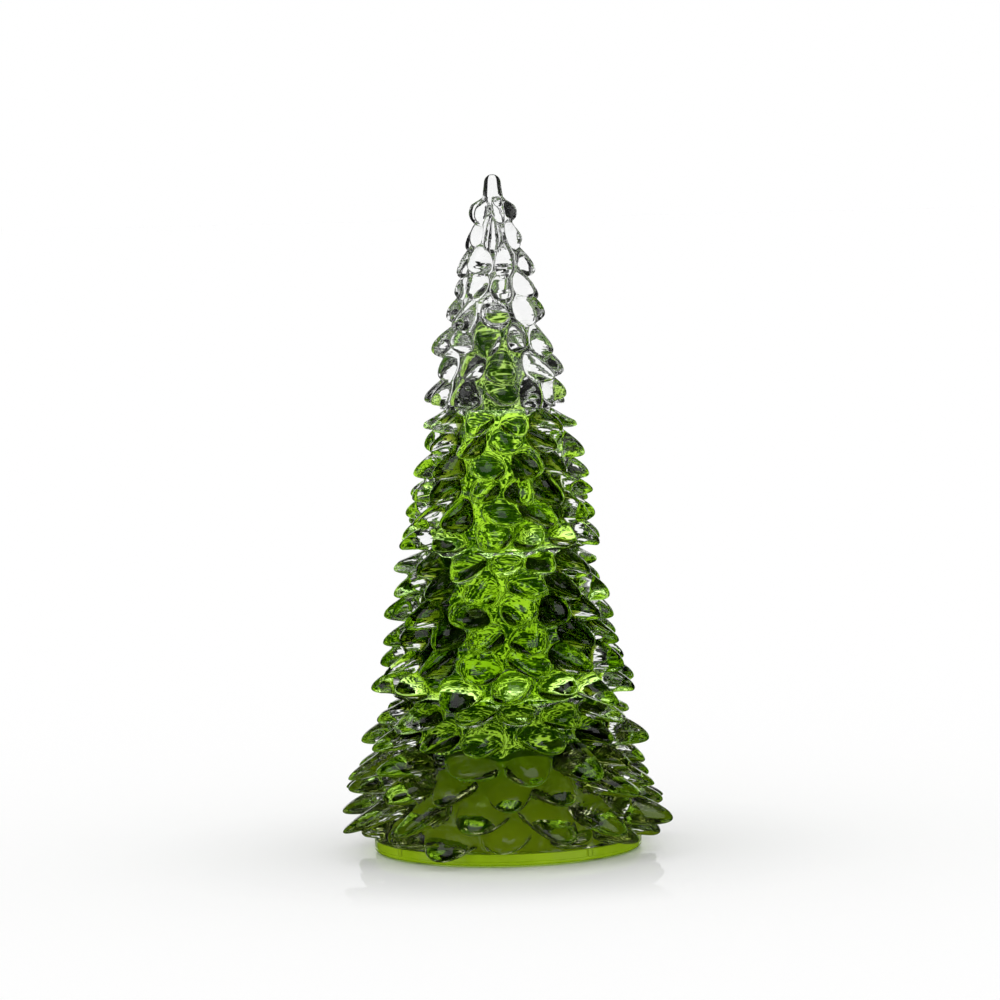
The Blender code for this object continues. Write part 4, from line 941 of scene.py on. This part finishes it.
def makeSprings():
    names = numbered("contact_spring", 3)
    low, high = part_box(names[0])
    wire = spring["wire"]
    shape = newObject("springShape", bpy.data.meshes.new("springShape"))
    values = {"Turns": float(spring["turns"]), "Wide": (spring["wide"] - wire) * mm,
              "Narrow": spring["narrow"] * mm, "Length": high[0] - low[0] - 2 * wire * mm,
              "Wire": wire * mm, "Material": finishes["steel"]}
    withNodes(shape, "coil", coilTree(), values)
    places = []
    for name, cellName in zip(names, cellNames):
        low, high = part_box(name)
        _, y, z = middle(cellName)
        turns = 1 if high[0] < 0 else -1
        places.append(((low[0] if turns > 0 else high[0]) / mm + turns * wire, y, z, turns))
    copies("springs", shape, places, "tree", names, "steel")


makeSprings()

strip = {"edge": 0.12, "dimple": 1.2, "dimpleHeight": 0.15, "dimpleFoot": 0.4, "cellEnd": 22}


def makeStrips():
    dimple, dimpleHeight, dimpleFoot = strip["dimple"], strip["dimpleHeight"], strip["dimpleFoot"]
    profile = dome(dimple, dimpleHeight, 0, 6) + [(dimple, -dimpleFoot), (0, -dimpleFoot)]
    for name in numbered("contact_strip", 4):
        low, high = boxOf(name)
        obj = asMesh(rounded(block(name + "Plate", low, high, finishes["steel"]), strip["edge"], 2))
        side = 1 if low[0] > 0 else -1
        dimples = []
        for cellName in cellNames:
            _, y, z = middle(cellName)
            if low[1] < y < high[1] and boxOf(cellName)[1 if side > 0 else 0][0] * side > strip["cellEnd"]:
                face = low[0] if side > 0 else high[0]
                tool = asMesh(turned("dimple", profile, 32, None))
                rise = Matrix.Translation((face * mm - side * dimpleHeight * mm, y * mm, z * mm))
                tool.data.transform(rise @ Matrix.Rotation(-side * math.pi / 2, 4, "Y"))
                dimples.append(tool)
        if dimples:
            carve(obj, dimples, "UNION")
        place(obj, "tree", [name], 30)


makeStrips()

tray = {"wall": 1.5, "halfY": 18.3, "edge": 0.4, "boss": 3.1, "bossHeight": 9.5, "bossRoof": 0.9, "hole": 1.4}


def makeTray():
    low, high = boxOf("battery_box")
    halfX, halfY, wall = high[0], tray["halfY"], tray["wall"]
    plastic = finishes["housing_plastic"]
    shape = block("batteryTray", (-halfX, -halfY, low[2]), (halfX, halfY, high[2]), plastic)
    obj = asMesh(rounded(shape, tray["edge"]))
    names, bossTop = numbered("box_screw", 4), low[2] + tray["bossHeight"]
    carve(obj, [rodAt(name, tray["boss"], low[2], bossTop) for name in names], "UNION")
    tools = [block("bay", (-halfX + wall, -halfY + wall, 0), (halfX - wall, halfY - wall, high[2] - wall))]
    tools += [rodAt(name, tray["hole"], 0, bossTop - tray["bossRoof"]) for name in names]
    carve(obj, tools)
    place(obj, "tree", ["battery_box"], 30)


makeTray()

# each lead's slot, sideways bulge, and ends in x and y
wires = {"radius": 0.7, "steps": 28, "round": 4}
leads = {"lead_red": ("lead_red", 5.0, (-8.36, 0.0), (-2.4, 0.0)),
         "lead_black": ("black_plastic", 5.0, (8.36, 0.0), (2.4, 0.0)),
         "lead_white": ("lead_white", 0.0, (0.0, -33.0), (0.0, -2.4))}


def makeLeads():
    for name, (slotName, bulge, start, end) in leads.items():
        low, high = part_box(name)
        curve = bpy.data.curves.new(name + "Wire", "CURVE")
        curve.dimensions = "3D"
        curve.bevel_depth = wires["radius"] * mm
        curve.bevel_resolution = wires["round"]
        curve.use_fill_caps = True
        line = curve.splines.new("POLY")
        line.points.add(wires["steps"])
        for i, point in enumerate(line.points):
            share = i / wires["steps"]
            ease = share * share * (3 - 2 * share)
            x = start[0] + (end[0] - start[0]) * ease
            y = start[1] + (end[1] - start[1]) * ease + bulge * math.sin(math.pi * share) ** 2
            z = (low[2] + (high[2] - low[2]) * share) / mm
            point.co = (x * mm, y * mm, z * mm, 1)
        curve.materials.append(finishes[slotName])
        wire = newObject("wire", curve)
        bpy.context.view_layer.update()
        graph = bpy.context.evaluated_depsgraph_get()
        mesh = bpy.data.meshes.new_from_object(wire.evaluated_get(graph))
        bpy.data.objects.remove(wire)
        place(newObject(name + "Wire", mesh), "tree", [name])


makeLeads()

switch = {"wall": 1.0, "edge": 0.25, "gap": 0.3, "carriage": 1.8, "knobLength": 2.6, "knobWidth": 2.2,
          "knobRoot": 0.9, "ribs": 3, "ribWidth": 0.35, "ribDepth": 0.4}


def makeSwitch():
    low, high = boxOf("switch_body")
    wall, edge = switch["wall"], switch["edge"]
    body = asMesh(rounded(block("switchBody", low, high, finishes["black_plastic"]), edge))
    room = low[2] + switch["carriage"] + 2 * switch["gap"]
    carve(body, [block("room", (low[0] + wall, low[1] + wall, 0), (high[0] - wall, high[1] - wall, room))])
    place(body, "tree", ["switch_body"], 30)
    low, high = boxOf("switch_slider")
    x, y, _ = middle("switch_slider")
    carriage = high[2] - switch["carriage"]
    slider = asMesh(rounded(block("switchKnob", (low[0], low[1], carriage), high, finishes["slider"]), edge))
    halfX, halfY = switch["knobLength"] / 2, switch["knobWidth"] / 2
    root = carriage + switch["knobRoot"]
    knob = block("knob", (x - halfX, y - halfY, low[2]), (x + halfX, y + halfY, root))
    carve(slider, [asMesh(rounded(knob, edge / 2))], "UNION")
    pitch = switch["knobLength"] / switch["ribs"]
    grooves = []
    half, top = switch["ribWidth"] / 2, low[2] + switch["ribDepth"]
    for i in range(switch["ribs"]):
        at = x + (i - (switch["ribs"] - 1) / 2) * pitch
        grooves.append(block("groove", (at - half, y - halfY - over, 0), (at + half, y + halfY + over, top)))
    carve(slider, grooves)
    place(slider, "switch_slider", ["switch_slider"], 30)


makeSwitch()

# Studio

studio = {"size": 60.0, "distance": 2.1, "eye": 0.32, "aim": 0.166, "lens": 160, "sensor": 36, "roll": 1.4,
          "gloss": 0.22, "glossRoughness": 0.0, "glossNear": 0.085, "glossFar": 0.19,
          # the floor's painted shade where glass sees it: how dark it is, and the distances from the object
          # over which it gives way to painted light
          "paintedFloorDark": 0.015, "paintedShadeNear": 0.15, "paintedLightFrom": 0.35, "openRadius": 0.06,
          "lowWindow": (13.0, 17.0), "topWindow": (62.0, 70.0), "dark": 0.008,
          "windows": 3.0, "windowHalf": 22.0, "windowSoft": 0.03}


def windows(tree, x, y):
    # broad white windows round the object, as glass sees them, with dark between them
    strips = calc(tree, "COSINE", calc(tree, "MULTIPLY", calc(tree, "ARCTAN2", x, y), studio["windows"]))
    edge = math.cos(math.radians(studio["windowHalf"]) * studio["windows"])
    return mapRange(tree, strips, edge - studio["windowSoft"], edge + studio["windowSoft"])


def byGlass(tree):
    # 1 for a ray that glass or a glossy face sends on, 0 once it has met anything dull
    path = add(tree, "ShaderNodeLightPath")
    shiny = calc(tree, "MAXIMUM", path["Is Glossy Ray"], path["Is Transmission Ray"])
    return calc(tree, "MULTIPLY", shiny, calc(tree, "LESS_THAN", path["Diffuse Depth"], 0.5))


def makeFloor():
    made, tree, shader = newMaterial("floorWhite", **{"Base Color": (1.0, 1.0, 1.0, 1), "Roughness": 0.5})
    shader.inputs["Specular IOR Level"].default_value = 0.0
    x, y, _ = add(tree, "ShaderNodeSeparateXYZ", {0: add(tree, "ShaderNodeTexCoord")["Object"]})
    away = calc(tree, "SQRT", calc(tree, "ADD", calc(tree, "MULTIPLY", x, x), calc(tree, "MULTIPLY", y, y)))
    gloss = add(tree, "ShaderNodeBsdfGlossy", {"Roughness": studio["glossRoughness"]})[0]
    shine = mapRange(tree, away, studio["glossNear"], studio["glossFar"], studio["gloss"], 0.0)
    white = add(tree, "ShaderNodeMixShader", {0: shine, 1: shader.outputs[0], 2: gloss})[0]
    # clear from below and open to soft light under the base, so that the underside can be looked at
    path = add(tree, "ShaderNodeLightPath")
    soft = calc(tree, "MAXIMUM", path["Is Diffuse Ray"], path["Is Shadow Ray"])
    lightBelow = calc(tree, "MULTIPLY", soft, calc(tree, "LESS_THAN", away, studio["openRadius"]))
    under = calc(tree, "MAXIMUM", add(tree, "ShaderNodeNewGeometry")["Backfacing"], lightBelow)
    through = add(tree, "ShaderNodeBsdfTransparent")[0]
    surface = add(tree, "ShaderNodeMixShader", {0: under, 1: white, 2: through})[0]
    tree.links.new(surface, tree.nodes["Material Output"].inputs["Surface"])
    # seen through glass, the floor has painted light in the windows' directions away from the object, and
    # painted shade, near black, close to the object and between the windows
    outOfPaintedShade = mapRange(tree, away, studio["paintedShadeNear"], studio["paintedLightFrom"])
    paintedLight = calc(tree, "MULTIPLY", windows(tree, x, y), outOfPaintedShade)
    dark = calc(tree, "MULTIPLY", calc(tree, "SUBTRACT", 1.0, paintedLight), 1 - studio["paintedFloorDark"])
    paintedShade = calc(tree, "SUBTRACT", 1.0, calc(tree, "MULTIPLY", byGlass(tree), dark))
    color = add(tree, "ShaderNodeCombineColor", {0: paintedShade, 1: paintedShade, 2: paintedShade})[0]
    tree.links.new(color, shader.inputs["Base Color"])
    mesh = bpy.data.meshes.new("floor")
    half = studio["size"] / 2
    corners = [(-half, -half, 0), (half, -half, 0), (half, half, 0), (-half, half, 0)]
    mesh.from_pydata(corners, [], [(0, 1, 2, 3)])
    mesh.materials.append(made)
    newObject("floor", mesh)


def makeWorld():
    world = bpy.data.worlds.new("studio")
    bpy.context.scene.world = world
    world.use_nodes = True
    tree = world.node_tree
    tree.nodes.clear()
    x, y, z = add(tree, "ShaderNodeSeparateXYZ", {0: add(tree, "ShaderNodeTexCoord")["Generated"]})
    elevation = calc(tree, "MULTIPLY", calc(tree, "ARCSINE", z), 180 / math.pi)
    low = mapRange(tree, elevation, *studio["lowWindow"], 1.0, 0.0)
    top = mapRange(tree, elevation, *studio["topWindow"])
    pattern = calc(tree, "ADD", calc(tree, "MULTIPLY", windows(tree, x, y), low), top)
    pattern = calc(tree, "ADD", pattern, studio["dark"])
    seen = byGlass(tree)
    strength = calc(tree, "ADD", calc(tree, "MULTIPLY", seen, pattern), calc(tree, "SUBTRACT", 1.0, seen))
    light = add(tree, "ShaderNodeBackground", {"Color": (1, 1, 1, 1), "Strength": strength})[0]
    add(tree, "ShaderNodeOutputWorld", {0: light})


def makeCamera():
    camera = bpy.data.cameras.new("camera")
    camera.lens = studio["lens"]
    camera.sensor_width = studio["sensor"]
    obj = newObject("camera", camera)
    obj.location = (0, -studio["distance"], studio["eye"])
    pitch = math.atan2(studio["eye"] - studio["aim"], studio["distance"])
    look = Vector((0, math.cos(pitch), -math.sin(pitch))).to_track_quat("-Z", "Y").to_matrix()
    obj.rotation_mode = "QUATERNION"
    obj.rotation_quaternion = (look @ Matrix.Rotation(math.radians(-studio["roll"]), 3, "Z")).to_quaternion()
    bpy.context.scene.camera = obj


makeFloor()
makeWorld()
makeCamera()
print("studio", len(bpy.data.materials), "materials")
scene = bpy.context.scene
scene.view_settings.view_transform = "Standard"
scene.cycles.max_bounces = 32
scene.cycles.transmission_bounces = 32
scene.cycles.glossy_bounces = 16
scene.cycles.diffuse_bounces = 4
scene.cycles.caustics_reflective = True
scene.cycles.caustics_refractive = True
